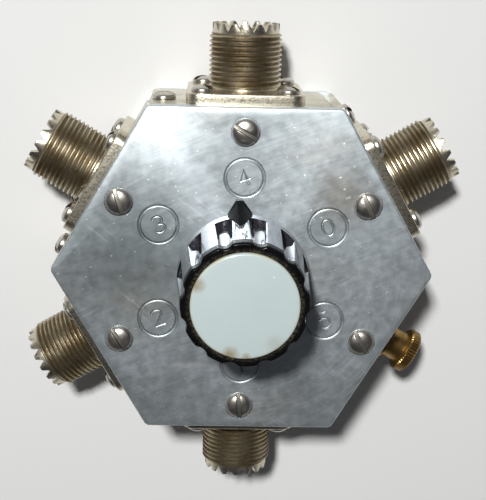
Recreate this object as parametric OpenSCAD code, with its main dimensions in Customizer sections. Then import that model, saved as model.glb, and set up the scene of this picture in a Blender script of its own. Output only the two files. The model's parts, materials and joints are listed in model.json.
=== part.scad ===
// Coaxial antenna switch: a six-sided box with five threaded sockets round it,
// a ground terminal on the sixth side and a rotary selector under a fluted knob.
// Millimetres. Z is the knob's axis, z = 0 is the back of the box and +Y points
// to the socket that the pointer shows at rest. Sides are numbered from that
// socket, counter-clockwise as seen from the front.

/* [Enclosure] */
// Distance between opposite sides of the box
across_flats = 71.6; // [71.6:0.2:80]
// Thickness of the front plate
plate_t = 3; // [2:0.1:4]
// Height of the walls between the two plates
wall_h = 26; // [26:0.2:32]
// Thickness of the wall sheet
wall_t = 2; // [1.4:0.1:2.2]
// Thickness of the back cover
cover_t = 2; // [1.8:0.1:3]
// Bevel along the edges of the two plates
edge_bevel = 0.4; // [0.2:0.05:0.7]
// Length taken off each corner of the two plates
corner_cut = 0.6; // [0.2:0.1:1.4]
// Length of the tab that each wall tucks behind its neighbour
tab_l = 5.2; // [4.6:0.1:5.3]
// Length of the bent ears that hold the plates
ear_l = 9; // [8:0.1:10]
// Width of the bent ears
ear_w = 9.4; // [8:0.1:10]
// Distance of the plate screws from the edge of the plate
plate_screw_in = 5.2; // [5:0.1:5.6]
// Distance of the corner screws from the corner
corner_screw_in = 3.2; // [3:0.1:3.5]
// Distance of the corner screws below the front edge of the wall
corner_screw_drop = 8.6; // [5:0.1:20]
// Outer diameter of the rings cut into the face
mark_ring_d = 9; // [7:0.1:10]
// Width of the line of those rings
mark_line_w = 0.75; // [0.4:0.05:0.9]
// Depth of the line of those rings
mark_depth = 0.15; // [0.1:0.01:0.3]
// Distance of the rings from the knob's axis
mark_circle_r = 20.9; // [20:0.1:22]

/* [Screws] */
// Diameter of the screws' threads
screw_d = 2.84; // [2.5:0.02:3]
// Head diameter of the socket and corner screws
round_head_d = 5; // [4.6:0.1:5.4]
// Head height of the socket and corner screws
round_head_h = 2.1; // [1.6:0.1:2.4]
// Head diameter of the face screws
face_head_d = 5.7; // [5:0.1:6.2]
// Head height of the face screws
face_head_h = 1.9; // [1.4:0.1:2.2]
// Head diameter of the countersunk back screws
sunk_head_d = 5.5; // [5:0.1:5.8]
// Width of the screwdriver slots
slot_w = 0.9; // [0.6:0.05:1.2]
// Depth of the screwdriver slots
slot_depth = 0.9; // [0.5:0.05:1.1]
// Distance across the flats of the small nuts
nut_af = 6.35; // [5.5:0.05:6.4]
// Thickness of the small nuts
nut_t = 2.4; // [1.8:0.1:2.8]

/* [Sockets] */
// Outer diameter of the coupling thread
thread_d = 15.875; // [15.5:0.005:16]
// Length of the coupling thread
thread_l = 11.5; // [10:0.1:14]
// Outer diameter of the plain crown in front of the thread
crown_d = 14.6; // [14.2:0.1:15.2]
// Length of the crown
crown_l = 2.1; // [1.9:0.1:3]
// Teeth round the crown
crown_teeth = 16; // [12:1:20]
// Depth of the notches between the crown's teeth
crown_notch = 1.6; // [1:0.1:1.8]
// Width of the notches at the rim
crown_notch_w = 2; // [1.5:0.1:2.1]
// Length of the plain neck behind the thread
neck_l = 0.5; // [0.3:0.1:1.5]
// Width of the square flange
flange_w = 25.4; // [25:0.1:25.8]
// Thickness of the flange
flange_t = 2.2; // [1.6:0.1:2.6]
// Depth of the coupling thread
thread_depth = 0.65; // [0.5:0.01:0.7]
// Radius of the flange's corners
flange_corner_r = 3; // [2:0.1:4]
// Distance between the flange's holes
flange_hole_pitch = 18.26; // [18:0.02:18.6]
// Bore that takes the plug's nose
plug_bore_d = 12.4; // [12:0.1:12.8]
// Diameter of the insulator
insulator_d = 10; // [9:0.1:10.4]
// Diameter of the shell's shoulder behind the flange
shoulder_d = 13; // [12.4:0.1:13.4]
// Length of that shoulder
shoulder_l = 3.4; // [3:0.1:4]
// Outer diameter of the centre contact
contact_d = 5.6; // [5.4:0.1:6]
// Bore of the centre contact
contact_bore_d = 4; // [3.9:0.02:4.2]
// Distance of the centre contact behind the crown's rim
contact_sunk = 1.2; // [0.6:0.1:2]
// Width of the slits in the centre contact
contact_slit_w = 0.45; // [0.3:0.05:0.5]
// Outer diameter of the solder cup
cup_d = 4.4; // [3.6:0.1:4.6]
// Distance of the solder cup's end behind the wall's face
cup_reach = 11; // [10:0.1:12]

/* [Ground terminal] */
// Distance across the flats of the stud's inner head
stud_hex_af = 7.7; // [7:0.1:8.4]
// Diameter of the ground stud
stud_d = 4.16; // [3.8:0.02:4.4]
// Distance of the stud's end from the wall
stud_reach = 11.2; // [11:0.1:14]
// Thickness of the lock washer on the wall
lock_washer_t = 0.8; // [0.5:0.1:1]
// Thickness of the hex nut that holds the stud
stud_nut_t = 2.6; // [2:0.1:3]
// Distance across the flats of that nut
stud_nut_af = 8.7; // [8:0.1:9.5]
// Diameter of the loose washer
ground_washer_d = 9.2; // [8.4:0.1:10]
// Thickness of the loose washer
ground_washer_t = 0.8; // [0.6:0.1:1]
// Diameter of the thumb nut's collar
thumb_collar_d = 7.2; // [6.4:0.1:7.8]
// Length of the thumb nut's collar
thumb_collar_l = 4; // [3:0.1:4.4]
// Diameter of the thumb nut's knurled rim
thumb_rim_d = 10.2; // [9:0.1:12]
// Length of the knurled rim
thumb_rim_l = 2.4; // [2:0.1:3]
// Grooves round the knurled rim
thumb_grooves = 44; // [30:1:50]

/* [Knob] */
// Gap between the front plate and the knob
knob_gap = 3.5; // [3.4:0.1:5]
// Diameter of the knob at its foot
knob_foot_d = 28.2; // [27.6:0.1:30]
// Diameter of the knob at its rim
knob_rim_d = 25.6; // [25.2:0.1:27]
// Height of the knob up to its rim
knob_h = 19.5; // [18.5:0.1:22]
// Height of the bright fluted band
band_h = 17.2; // [15:0.1:17.2]
// Number of flutes
flutes = 10; // [6:1:12]
// Radius of the flutes
flute_r = 2; // [1.4:0.1:2.2]
// Depth of the flutes at the foot
flute_depth = 1.9; // [1:0.1:2]
// Lean of the flutes towards the axis
flute_lean = 1.8; // [0:0.1:2.5]
// Height at which the flutes begin
flute_start = 3; // [2.4:0.1:5]
// Diameter of the core inside the band
core_d = 21.2; // [20.4:0.1:21.8]
// Diameter of the pale cap
cap_d = 21.7; // [20:0.1:22]
// Height of the cap's top above the rim
cap_rise = 1.1; // [0.8:0.1:2]
// Radius of the cap's shallow dome
cap_dome_r = 120; // [90:5:200]
// Radius of the cap's rounded edge
cap_edge_r = 0.5; // [0.2:0.05:0.8]
// Width of the pointer
pointer_w = 5.2; // [4:0.1:7]
// Width of the pointer's blunt tip
pointer_tip_w = 1.4; // [0.6:0.1:2.4]
// Distance of the pointer's tip from the knob's axis
pointer_tip_r = 17.1; // [16.4:0.1:18.5]
// Height that the pointer climbs up the band
pointer_climb = 8.5; // [5:0.1:12]
// Turn of the knob on the shaft, away from the detent
knob_clocking = 3.7; // [-5:0.1:5]
// Diameter of the brass insert
insert_d = 11; // [10:0.1:12]
// Length of the brass insert
insert_l = 11.2; // [10:0.1:11.6]
// Diameter of the set screw
set_screw_d = 4; // [3:0.1:4.2]

/* [Shaft and bushing] */
// Diameter of the shaft
shaft_d = 6.35; // [6:0.01:6.4]
// Distance of the shaft's end below the insert's end
shaft_sunk = 0.8; // [0.6:0.1:2]
// Distance across the shaft's two driving flats
shaft_flats = 5; // [4.6:0.1:5.2]
// Diameter of the bushing's thread
bushing_d = 9.52; // [9.3:0.02:9.7]
// Height of the bushing above the front plate
bushing_h = 5.5; // [5:0.1:6]
// Diameter of the bushing's collar
bushing_collar_d = 14; // [12:0.1:16]
// Thickness of the bushing's collar
bushing_collar_t = 2; // [1.5:0.1:2.2]
// Distance across the flats of the bushing's nut
bushing_nut_af = 12.7; // [12:0.1:13]
// Thickness of the bushing's nut
bushing_nut_t = 2.2; // [1.8:0.1:2.2]
// Thickness of the bushing's washer
bushing_washer_t = 0.6; // [0.4:0.1:0.7]
// Thickness of the retaining clip
clip_t = 0.7; // [0.5:0.05:0.8]

/* [Selector] */
// Diameter of the detent plate and the wafer
wafer_d = 45; // [44:0.1:46]
// Thickness of the detent plate
detent_plate_t = 1.5; // [1.2:0.1:1.6]
// Thickness of the shaft's collar
shaft_collar_t = 1.2; // [1:0.1:1.3]
// Diameter of the star wheel
star_d = 21.6; // [20:0.1:22.4]
// Thickness of the star wheel
star_t = 2.5; // [2:0.1:2.6]
// Outer radius of the spring's bump
bump_r = 1.9; // [1.5:0.1:2.2]
// Thickness of the spring's leaf
leaf_t = 0.5; // [0.3:0.05:0.6]
// Half the distance between the spring's posts
detent_post_y = 8.5; // [7:0.1:9.5]
// Diameter of the spring's posts
detent_post_d = 2.4; // [2:0.1:2.6]
// Thickness of the wafer
wafer_t = 1.6; // [1.2:0.1:2]
// Diameter of the spacer posts
spacer_d = 4.4; // [4:0.1:5]
// Diameter of the tenons of the spacer posts
tenon_d = 2.6; // [2.2:0.1:3]
// Diameter of the riveted ends of the tenons
tenon_head_d = 4; // [3.4:0.1:4.4]
// Distance of the spacer posts from the shaft's axis
spacer_circle_r = 20; // [19.6:0.1:20.3]
// Thickness of the contact strip
strip_t = 0.4; // [0.3:0.05:0.5]
// Width of the contact strips
strip_w = 4; // [3:0.1:5]
// Diameter of the rivets that hold the contact strips
rivet_d = 1.6; // [1.2:0.1:1.8]
// Diameter of the heads of those rivets
rivet_head_d = 2.9; // [2.4:0.1:3.2]
// Reach of the rotor blade from the shaft's axis
blade_reach = 16.6; // [15.6:0.1:17]
// Thickness of the rotor blade
blade_t = 0.6; // [0.5:0.05:0.7]
// Diameter of the rotor hub
hub_d = 12; // [10.5:0.1:13]
// Diameter of the jumper wires
wire_d = 1.5; // [1.2:0.1:1.6]

/* [Clearances] */
// Radial clearance of a screw or a seated piece
seat_clear = 0.04; // [0.02:0.01:0.1]
// Radial clearance of a piece that turns or slides
run_clear = 0.05; // [0.03:0.01:0.09]
// Gap between pieces that move past each other
part_gap = 0.3; // [0.25:0.01:0.4]
// Radial clearance of a hole that a screw or a thread passes freely
free_clear = 0.2; // [0.1:0.01:0.25]
// Play between two faces that hold a moving piece endways
end_play = 0.1; // [0.05:0.01:0.2]
// Room at the blind end of a hole
blind_room = 0.2; // [0.1:0.05:0.4]

/* [Hidden] */
$fn = 72;

// Directions of the screwdriver slots of the face screws, side by side
FACE_SLOTS = [-30, -72, -57, -86, -60, -64];
// Sides of the box, numbered counter-clockwise from the socket at +Y
SIDES = 6;
GROUND_INDEX = 4;
COMMON_INDEX = 5;
SOCKET_SIDES = [0, 1, 2, 3, COMMON_INDEX];
SWITCHED_SIDES = [0, 1, 2, 3, GROUND_INDEX];
// Angle between two switch positions
STEP = 360 / SIDES;
// How far a cutter passes through what it cuts
CUT = 0.5;
// How far two shapes of one piece run into each other
JOIN = 0.05;
// Turn from one screwdriver slot to the next, so that no two look alike
SLOT_SPREAD = 47;
// Width over corners of a nut whose corners are eased, as a share of its flats
EASED = 1.12;

// Enclosure
flat_r = across_flats / 2;
side_half = flat_r * tan(STEP / 2);
corner_r = flat_r / cos(STEP / 2);
plate_z = cover_t + wall_h;
face_z = plate_z + plate_t;
axis_z = cover_t + wall_h / 2;
plate_screw_r = flat_r - plate_screw_in;
bend_x = side_half - wall_t / sin(STEP) - seat_clear;
bend_drop = wall_t * tan(STEP / 2);
corner_screw_z = plate_z - corner_screw_drop;
spot_brim = 0.25;
spot_d = face_head_d + 2 * spot_brim;
spot_depth = 0.3;
sunk_head_h = (sunk_head_d - screw_d) / 2;
sunk_below = 0.1;
screw_hole_d = screw_d + 2 * seat_clear;
free_hole_d = screw_d + 2 * free_clear;
screw_tail = 1;
bushing_hole_d = bushing_d + 2 * free_clear;
key_circle_r = 11;
key_d = 2.4;
key_h = 1.5;

// Sockets, measured outwards from the wall's face
neck_d = thread_d - 2 * thread_depth;
thread_s = flange_t + neck_l;
crown_s = thread_s + thread_l;
tip_s = crown_s + crown_l;
insulator_lip_s = 6;
insulator_lip_l = 1.5;
insulator_rear_l = 1.4;
insulator_rear_d = 7.2;
contact_stem_d = contact_bore_d + 1;
contact_collar_l = 0.6;
contact_collar_brim = 0.8;
contact_collar_d = cup_d + 2 * contact_collar_brim;
contact_rear_s = -shoulder_l - insulator_rear_l;
contact_tip_s = tip_s - contact_sunk;
contact_base_s = insulator_lip_s + insulator_lip_l;
slit_l = 5;
slit_turns = [45, 135];
hole_half = flange_hole_pitch / 2;
wall_hole_d = shoulder_d + 2 * free_clear;
cup_bore_l = 3;
wire_hole_d = wire_d + 2 * seat_clear;

// Ground terminal, measured outwards from the wall's face
stud_nut_s = lock_washer_t;
ground_washer_s = stud_nut_s + stud_nut_t + part_gap;
thumb_s = ground_washer_s + ground_washer_t + end_play;
thumb_rim_s = thumb_s + thumb_collar_l;
thumb_end_s = thumb_rim_s + thumb_rim_l;
thumb_bevel = 0.35;
stud_hex_t = 2.4;
stud_tail_l = 3.4;
stud_tail_d = 3.6;
stud_tail_s = -wall_t - stud_hex_t - stud_tail_l;
groove_size = 0.35;
lock_split_turn = 20;

// Knob, shaft and bushing
knob_z = face_z + knob_gap;
band_top_z = knob_z + band_h;
foot_r = knob_foot_d / 2;
rim_r = knob_rim_d / 2;
flute_axis_r = cone_at(flute_start) - flute_depth + flute_r;
cap_step = 0.3;
cap_seat_h = band_h + cap_step;
core_r = core_d / 2;
washer_brim = 1.2;
bushing_washer_d = bushing_nut_af + 2 * washer_brim;
recess_brim = 0.65;
recess_r = bushing_washer_d / 2 + recess_brim;
recess_room = 0.8;
recess_h = bushing_h + end_play + clip_t + recess_room - knob_gap;
foot_disc_h = 1.5;
foot_disc_inset = 1.8;
foot_disc_r = foot_r - foot_disc_inset;
insert_z = knob_z + recess_h;
set_screw_rise = 4.6;
set_screw_z = insert_z + set_screw_rise;
set_screw_l = 5;
set_slot_w = 0.6;
set_slot_depth = 0.8;
shaft_flat_depth = 0.6;
shaft_r = shaft_d / 2;
shaft_top_z = insert_z + insert_l - shaft_sunk;
bushing_top_z = face_z + bushing_h;
groove_z = bushing_top_z + end_play;
groove_depth = 0.55;
groove_r = shaft_r - groove_depth;
clip_brim = 1.6;
clip_r = shaft_r + clip_brim;

// Selector, from the front plate down
collar_z = plate_z - bushing_collar_t;
detent_z = collar_z - detent_plate_t;
shaft_collar_z = detent_z - end_play - shaft_collar_t;
shaft_collar_r = 4.5;
star_z = shaft_collar_z - star_t;
leaf_off = 0.8;
bump_x = star_d / 2 + leaf_off;
notch_r = bump_r + end_play;
eye_r = detent_post_d / 2 + seat_clear + leaf_t;
detent_post_x = bump_x + eye_r;
leaf_inset = 0.25;
leaf_h = star_t - 2 * leaf_inset;
leaf_z = star_z + leaf_inset;
post_head_brim = 0.5;
post_head_t = 0.5;
stop_r = 1.2;
stop_circle_r = 8;
stop_turn = 2 * asin((2 * stop_r + part_gap) / 2 / stop_circle_r);
travel = 4 * STEP;
wire_r = wire_d / 2;
strip_z = axis_z + wire_r;
wafer_z = strip_z + strip_t;
wafer_top_z = wafer_z + wafer_t;
wafer_hole_brim = 1.8;
wafer_hole_r = hub_d / 2 + wafer_hole_brim;
tenon_hole_d = tenon_d + 2 * seat_clear;
tenon_head_h = 0.6;
strip_lap = 3.4;
strip_in_r = blade_reach - strip_lap;
strip_inset = 1.1;
strip_out_r = wafer_d / 2 - strip_inset;
rivet_inset = 1.8;
rivet_rs = [strip_in_r + rivet_inset, strip_out_r - rivet_inset];
rivet_hole_d = rivet_d + 2 * seat_clear;
rivet_head_h = 0.8;
wire_off = 1.4;
wire_in_r = blade_reach + wire_off;
wire_cup_r = flat_r - cup_reach + cup_bore_l;
wire_stud_r = flat_r + stud_tail_s + cup_bore_l;
blade_z = strip_z - part_gap - blade_t;
blade_root_w = 7;
blade_tip_w = 4.4;
blade_tail = 7.5;
hub_off = 0.2;
hub_top_z = star_z - hub_off;
hub_floor_t = 2;
shaft_end_z = blade_z + blade_t + hub_floor_t;
common_z = axis_z - cup_d / 2 - strip_t;
button_r = 2.5;
button_z = common_z + strip_t + part_gap;
button_stem_d = 2.4;
button_stem_l = 1;
button_hole_d = button_stem_d + 2 * seat_clear;

// Radius of the knob's tapered outside at a height above its foot
function cone_at(h) = foot_r + (rim_r - foot_r) * h / knob_h;

// ---------- helpers ----------

// Puts its children on one side: x runs clockwise, y outwards, z from the back
module on_side(side) {
  rotate([0, 0, STEP * side])
    translate([0, flat_r, 0])
      children();
}

// The same, at the height of the sockets
module on_axis(side) {
  on_side(side) translate([0, 0, axis_z]) children();
}

// Turns a shape made along +Z so that it points outwards
module outwards() {
  rotate([-90, 0, 0]) children();
}

// Round bar between two heights
module bar(d, z0, z1) {
  translate([0, 0, z0]) cylinder(d = d, h = z1 - z0);
}

// Ring between two heights
module ring(d, hole, z0, z1) {
  difference() {
    bar(d, z0, z1);
    bar(hole, z0 - CUT, z1 + CUT);
  }
}

// Six-sided bar between two heights, with a flat towards +Y
module hex_bar(af, z0, z1) {
  translate([0, 0, z0]) cylinder(r = af / 2 / cos(30), h = z1 - z0, $fn = 6);
}

// Six-sided nut between two heights, its corners eased by a cylinder
module hex_nut(af, hole, z0, z1) {
  difference() {
    intersection() {
      hex_bar(af, z0, z1);
      bar(af * EASED, z0, z1);
    }
    bar(hole, z0 - CUT, z1 + CUT);
  }
}

// Round head with a slot, its seat at z = 0
module slotted_head(d, h, slot_turn) {
  dome_r = (d * d / 4 + h * h) / (2 * h);
  difference() {
    intersection() {
      cylinder(d = d, h = h);
      translate([0, 0, h - dome_r]) sphere(r = dome_r);
    }
    rotate([0, 0, slot_turn])
      translate([-d, -slot_w / 2, h - slot_depth])
        cube([2 * d, slot_w, h]);
  }
}

// Slotted screw with its seat at z = 0 and its thread going down
module screw(d, h, length, slot_turn) {
  slotted_head(d, h, slot_turn);
  bar(screw_d, -length, JOIN);
}

// Solid outline of one of the two plates
module hex_plate(z0, z1) {
  intersection() {
    translate([0, 0, z0]) cylinder(r = corner_r, h = z1 - z0, $fn = 6);
    bar(2 * (corner_r - corner_cut), z0, z1);
  }
}

// Cutters that bevel a plate's edge at one height
module bevels(z) {
  for (side = [0 : SIDES - 1])
    on_side(side)
      translate([0, 0, z])
        rotate([45, 0, 0])
          cube([2 * side_half + CUT, edge_bevel * sqrt(2), edge_bevel * sqrt(2)], center = true);
}

// One shape on each switch position's circle
module round_positions(r) {
  for (side = [0 : SIDES - 1])
    rotate([0, 0, STEP * side])
      translate([0, r, 0])
        children();
}

// Shaft section with its two driving flats
module driving_section(clear, z0, z1) {
  intersection() {
    bar(shaft_d + 2 * clear, z0, z1);
    translate([-shaft_d, -shaft_flats / 2 - clear, z0])
      cube([2 * shaft_d, shaft_flats + 2 * clear, z1 - z0]);
  }
}

// ---------- enclosure ----------

module front_plate() {
  color("silver") difference() {
    hex_plate(plate_z, face_z);
    bevels(face_z);
    bar(bushing_hole_d, plate_z - CUT, face_z + CUT);
    round_positions(plate_screw_r) {
      bar(free_hole_d, plate_z - CUT, face_z + CUT);
    }
    round_positions(plate_screw_r) {
      bar(spot_d, face_z - spot_depth, face_z + CUT);
    }
    round_positions(mark_circle_r) {
      ring(mark_ring_d, mark_ring_d - 2 * mark_line_w, face_z - mark_depth, face_z + CUT);
    }
    rotate([0, 0, -STEP / 2])
      translate([0, key_circle_r, 0])
        bar(key_d + 2 * free_clear, plate_z - CUT, plate_z + key_h + blind_room);
  }
}

module back_cover() {
  color("silver") difference() {
    hex_plate(0, cover_t);
    bevels(0);
    round_positions(plate_screw_r) {
      bar(free_hole_d, -CUT, cover_t + CUT);
    }
    round_positions(plate_screw_r) {
      translate([0, 0, sunk_below - CUT])
        cylinder(d1 = sunk_head_d + 2 * CUT + 2 * seat_clear,
                 d2 = screw_d + 2 * seat_clear, h = sunk_head_h + CUT);
    }
  }
}

// Sheet of one wall, seen from above: web, bend and tab
module wall_sheet() {
  z0 = cover_t;
  translate([-side_half, -wall_t, z0])
    cube([side_half + bend_x - bend_drop, wall_t, wall_h]);
  translate([bend_x - bend_drop, -wall_t, z0]) {
    intersection() {
      cylinder(r = wall_t, h = wall_h);
      linear_extrude(height = wall_h)
        polygon([[0, 0], [0, 2 * wall_t], [2 * wall_t, 2 * wall_t],
                 [2 * wall_t, 2 * wall_t * tan(90 - STEP)]]);
    }
    rotate([0, 0, -STEP])
      cube([tab_l, wall_t, wall_h]);
  }
}

// Ear bent inwards from the middle of a wall, its face between two heights
module ear(z0, z1) {
  translate([-ear_w / 2, -ear_l, z0])
    cube([ear_w, ear_l - wall_t / 2, z1 - z0]);
}

module wall(side) {
  has_socket = side != GROUND_INDEX;
  color("gainsboro") difference() {
    on_side(side) {
      wall_sheet();
      ear(plate_z - wall_t, plate_z);
      ear(cover_t, cover_t + wall_t);
    }
    on_side(side) translate([0, -plate_screw_in, 0]) bar(screw_hole_d, 0, face_z);
    on_side(side)
      translate([corner_screw_in - side_half, -2 * wall_t, corner_screw_z])
        outwards() cylinder(d = screw_hole_d, h = 3 * wall_t);
    on_side(side - 1)
      translate([corner_screw_in - side_half, -3 * wall_t, corner_screw_z])
        outwards() cylinder(d = screw_hole_d, h = 3 * wall_t);
    on_axis(side)
      outwards() bar(has_socket ? wall_hole_d : stud_d + 2 * seat_clear, -2 * wall_t, wall_t);
    if (has_socket)
      on_axis(side)
        flange_holes() bar(screw_hole_d, -2 * wall_t, wall_t);
  }
}

// One shape at each hole of a flange, pointing outwards
module flange_holes() {
  for (x = [-hole_half, hole_half])
    for (z = [-hole_half, hole_half])
      translate([x, 0, z])
        outwards()
          children();
}

module face_screws() {
  color("lightgray")
    for (side = [0 : SIDES - 1])
      rotate([0, 0, STEP * side])
        translate([0, plate_screw_r, face_z - spot_depth])
          screw(face_head_d, face_head_h, plate_t - spot_depth + wall_t + screw_tail,
                FACE_SLOTS[side] - STEP * side);
}

module back_screws() {
  color("lightgray")
    round_positions(plate_screw_r)
      difference() {
        union() {
          translate([0, 0, sunk_below])
            cylinder(d1 = sunk_head_d, d2 = screw_d, h = sunk_head_h);
          bar(screw_d, sunk_below, cover_t + wall_t + screw_tail);
        }
        translate([-sunk_head_d, -slot_w / 2, 0])
          cube([2 * sunk_head_d, slot_w, sunk_below + sunk_head_h / 2]);
      }
}

module corner_screws() {
  color("lightgray")
    for (side = [0 : SIDES - 1])
      on_side(side)
        translate([corner_screw_in - side_half, 0, corner_screw_z])
          outwards()
            screw(round_head_d, round_head_h, 2 * wall_t + screw_tail, SLOT_SPREAD * side);
}

// ---------- sockets ----------

module socket_shell(side) {
  side_w = flange_w - 2 * flange_corner_r;
  corner_at = side_w / 2;
  color("tan") on_axis(side) outwards() difference() {
    union() {
      translate([-flange_w / 2, -side_w / 2, 0]) cube([flange_w, side_w, flange_t]);
      translate([-side_w / 2, -flange_w / 2, 0]) cube([side_w, flange_w, flange_t]);
      for (x = [-corner_at, corner_at])
        for (y = [-corner_at, corner_at])
          translate([x, y, 0]) cylinder(r = flange_corner_r, h = flange_t);
      bar(shoulder_d, -shoulder_l, flange_t);
      bar(neck_d, 0, thread_s + CUT);
      bar(thread_d, thread_s, crown_s);
      bar(crown_d, crown_s - CUT, tip_s);
    }
    bar(insulator_d + 2 * seat_clear, -shoulder_l - CUT, tip_s);
    bar(plug_bore_d, insulator_lip_s, tip_s + CUT);
    for (x = [-hole_half, hole_half])
      for (y = [-hole_half, hole_half])
        translate([x, y, 0]) bar(free_hole_d, -CUT, flange_t + CUT);
    for (tooth = [0 : crown_teeth - 1])
      rotate([0, 0, (tooth + 0.5) * 360 / crown_teeth])
        crown_notch_cutter();
  }
}

// Wedge that cuts one notch across the crown's wall
module crown_notch_cutter() {
  slope = crown_notch_w / 2 / crown_notch;
  over = CUT;
  translate([0, 0, tip_s])
    rotate([90, 0, 90])
      linear_extrude(height = crown_d)
        polygon([[0, -crown_notch],
                 [crown_notch_w / 2 + slope * over, over],
                 [-crown_notch_w / 2 - slope * over, over]]);
}

module socket_insulator(side) {
  color("saddlebrown") on_axis(side) outwards() difference() {
    union() {
      bar(insulator_d, -shoulder_l, insulator_lip_s + CUT);
      bar(plug_bore_d - 2 * seat_clear, insulator_lip_s, contact_base_s);
      bar(insulator_rear_d, contact_rear_s, -shoulder_l + CUT);
    }
    bar(contact_stem_d + 2 * seat_clear, contact_rear_s - CUT, contact_base_s + CUT);
  }
}

module socket_contact(side) {
  color("gold") on_axis(side) outwards() difference() {
    union() {
      bar(contact_d, contact_base_s, contact_tip_s);
      bar(contact_stem_d, contact_rear_s - CUT, contact_base_s + CUT);
      bar(contact_collar_d, contact_rear_s - contact_collar_l, contact_rear_s);
      bar(cup_d, -cup_reach, contact_rear_s - contact_collar_l / 2);
    }
    bar(contact_bore_d, contact_base_s, contact_tip_s + CUT);
    bar(wire_hole_d, -cup_reach - CUT, -cup_reach + cup_bore_l + CUT);
    for (turn = slit_turns)
      rotate([0, 0, turn])
        translate([-contact_d, -contact_slit_w / 2, contact_tip_s - slit_l])
          cube([2 * contact_d, contact_slit_w, slit_l + CUT]);
  }
}

module flange_screws() {
  color("lightgray")
    for (side = SOCKET_SIDES)
      on_axis(side)
        for (x = [-1, 1])
          for (z = [-1, 1])
            translate([x * hole_half, flange_t, z * hole_half])
              outwards()
                screw(round_head_d, round_head_h, flange_t + wall_t + nut_t + screw_tail / 2,
                      SLOT_SPREAD * (4 * side + 2 * x + z));
}

module flange_nuts() {
  color("lightgray")
    for (side = SOCKET_SIDES)
      on_axis(side)
        flange_holes()
          hex_nut(nut_af, screw_hole_d, -wall_t - nut_t, -wall_t);
}

// ---------- ground terminal ----------

module ground_stud() {
  color("goldenrod") on_axis(GROUND_INDEX) outwards() difference() {
    union() {
      bar(stud_d, -wall_t - CUT, stud_reach);
      hex_bar(stud_hex_af, -wall_t - stud_hex_t, -wall_t);
      bar(stud_tail_d, stud_tail_s, -wall_t - stud_hex_t + CUT);
    }
    bar(wire_hole_d, stud_tail_s - CUT, stud_tail_s + cup_bore_l + CUT);
  }
}

module ground_lock_washer() {
  color("lightgray") on_axis(GROUND_INDEX) outwards() difference() {
    ring(stud_nut_af, stud_d + 2 * seat_clear, 0, lock_washer_t);
    rotate([0, 0, lock_split_turn])
      translate([0, -slot_w / 2, -CUT])
        cube([stud_nut_af, slot_w, lock_washer_t + 2 * CUT]);
  }
}

module ground_hex_nut() {
  color("lightgray") on_axis(GROUND_INDEX) outwards()
    hex_nut(stud_nut_af, stud_d + 2 * seat_clear, stud_nut_s, stud_nut_s + stud_nut_t);
}

module ground_washer() {
  color("goldenrod") on_axis(GROUND_INDEX) outwards()
    ring(ground_washer_d, stud_d + 2 * run_clear,
         ground_washer_s, ground_washer_s + ground_washer_t);
}

module thumb_nut() {
  rim_r_in = thumb_rim_d / 2 - thumb_bevel;
  color("darkgoldenrod") on_axis(GROUND_INDEX) outwards() difference() {
    union() {
      bar(thumb_collar_d, thumb_s, thumb_rim_s + CUT);
      bar(thumb_rim_d, thumb_rim_s + thumb_bevel, thumb_end_s - thumb_bevel);
      translate([0, 0, thumb_rim_s])
        cylinder(r1 = rim_r_in, r2 = thumb_rim_d / 2, h = thumb_bevel);
      translate([0, 0, thumb_end_s - thumb_bevel])
        cylinder(r1 = thumb_rim_d / 2, r2 = rim_r_in, h = thumb_bevel);
    }
    bar(stud_d + 2 * run_clear, thumb_s - CUT, thumb_end_s + CUT);
    for (groove = [0 : thumb_grooves - 1])
      rotate([0, 0, groove * 360 / thumb_grooves])
        translate([thumb_rim_d / 2, 0, thumb_rim_s - CUT])
          rotate([0, 0, 45])
            translate([-groove_size / 2, -groove_size / 2, 0])
              cube([groove_size, groove_size, thumb_rim_l + 2 * CUT]);
  }
}

// ---------- knob ----------

// Turns the knob's pieces to where the set screw holds them
module knob_turned() {
  rotate([0, 0, knob_clocking]) translate([0, 0, knob_z]) children();
}

// Tapered outside of the knob between two heights above its foot
module knob_cone(h0, h1, grow) {
  translate([0, 0, h0])
    cylinder(r1 = cone_at(h0) + grow, r2 = cone_at(h1) + grow, h = h1 - h0);
}

// Cutters for all the flutes
module flute_cutters() {
  for (flute = [0 : flutes - 1])
    rotate([0, 0, (flute + 0.5) * 360 / flutes])
      translate([0, flute_axis_r, flute_start])
        rotate([flute_lean, 0, 0])
          cylinder(r = flute_r, h = knob_h);
}

module knob_band() {
  color("whitesmoke") knob_turned() difference() {
    knob_cone(0, band_h, 0);
    bar(2 * (core_r + seat_clear), -CUT, band_h + CUT);
    bar(2 * (foot_disc_r + seat_clear), -CUT, foot_disc_h);
    flute_cutters();
    translate([-pointer_w / 2 - seat_clear, 0, -CUT])
      cube([pointer_w + 2 * seat_clear, foot_r + CUT, foot_disc_h + CUT]);
    set_screw_hole(set_screw_d + 2 * free_clear);
  }
}

module knob_body() {
  color("black") knob_turned() difference() {
    union() {
      bar(2 * core_r, foot_disc_h, band_h + CUT);
      knob_cone(band_h, knob_h, 0);
    }
    flute_cutters();
    bar(cap_d + 2 * seat_clear, cap_seat_h, knob_h + CUT);
    bar(2 * recess_r, 0, recess_h);
    bar(insert_d + 2 * seat_clear, 0, recess_h + insert_l);
    set_screw_hole(set_screw_d + 2 * free_clear);
  }
}

// Radial hole opposite the pointer, where the set screw goes in
module set_screw_hole(d) {
  translate([0, 0, set_screw_z - knob_z])
    rotate([90, 0, 0])
      cylinder(d = d, h = foot_r + CUT);
}

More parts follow.
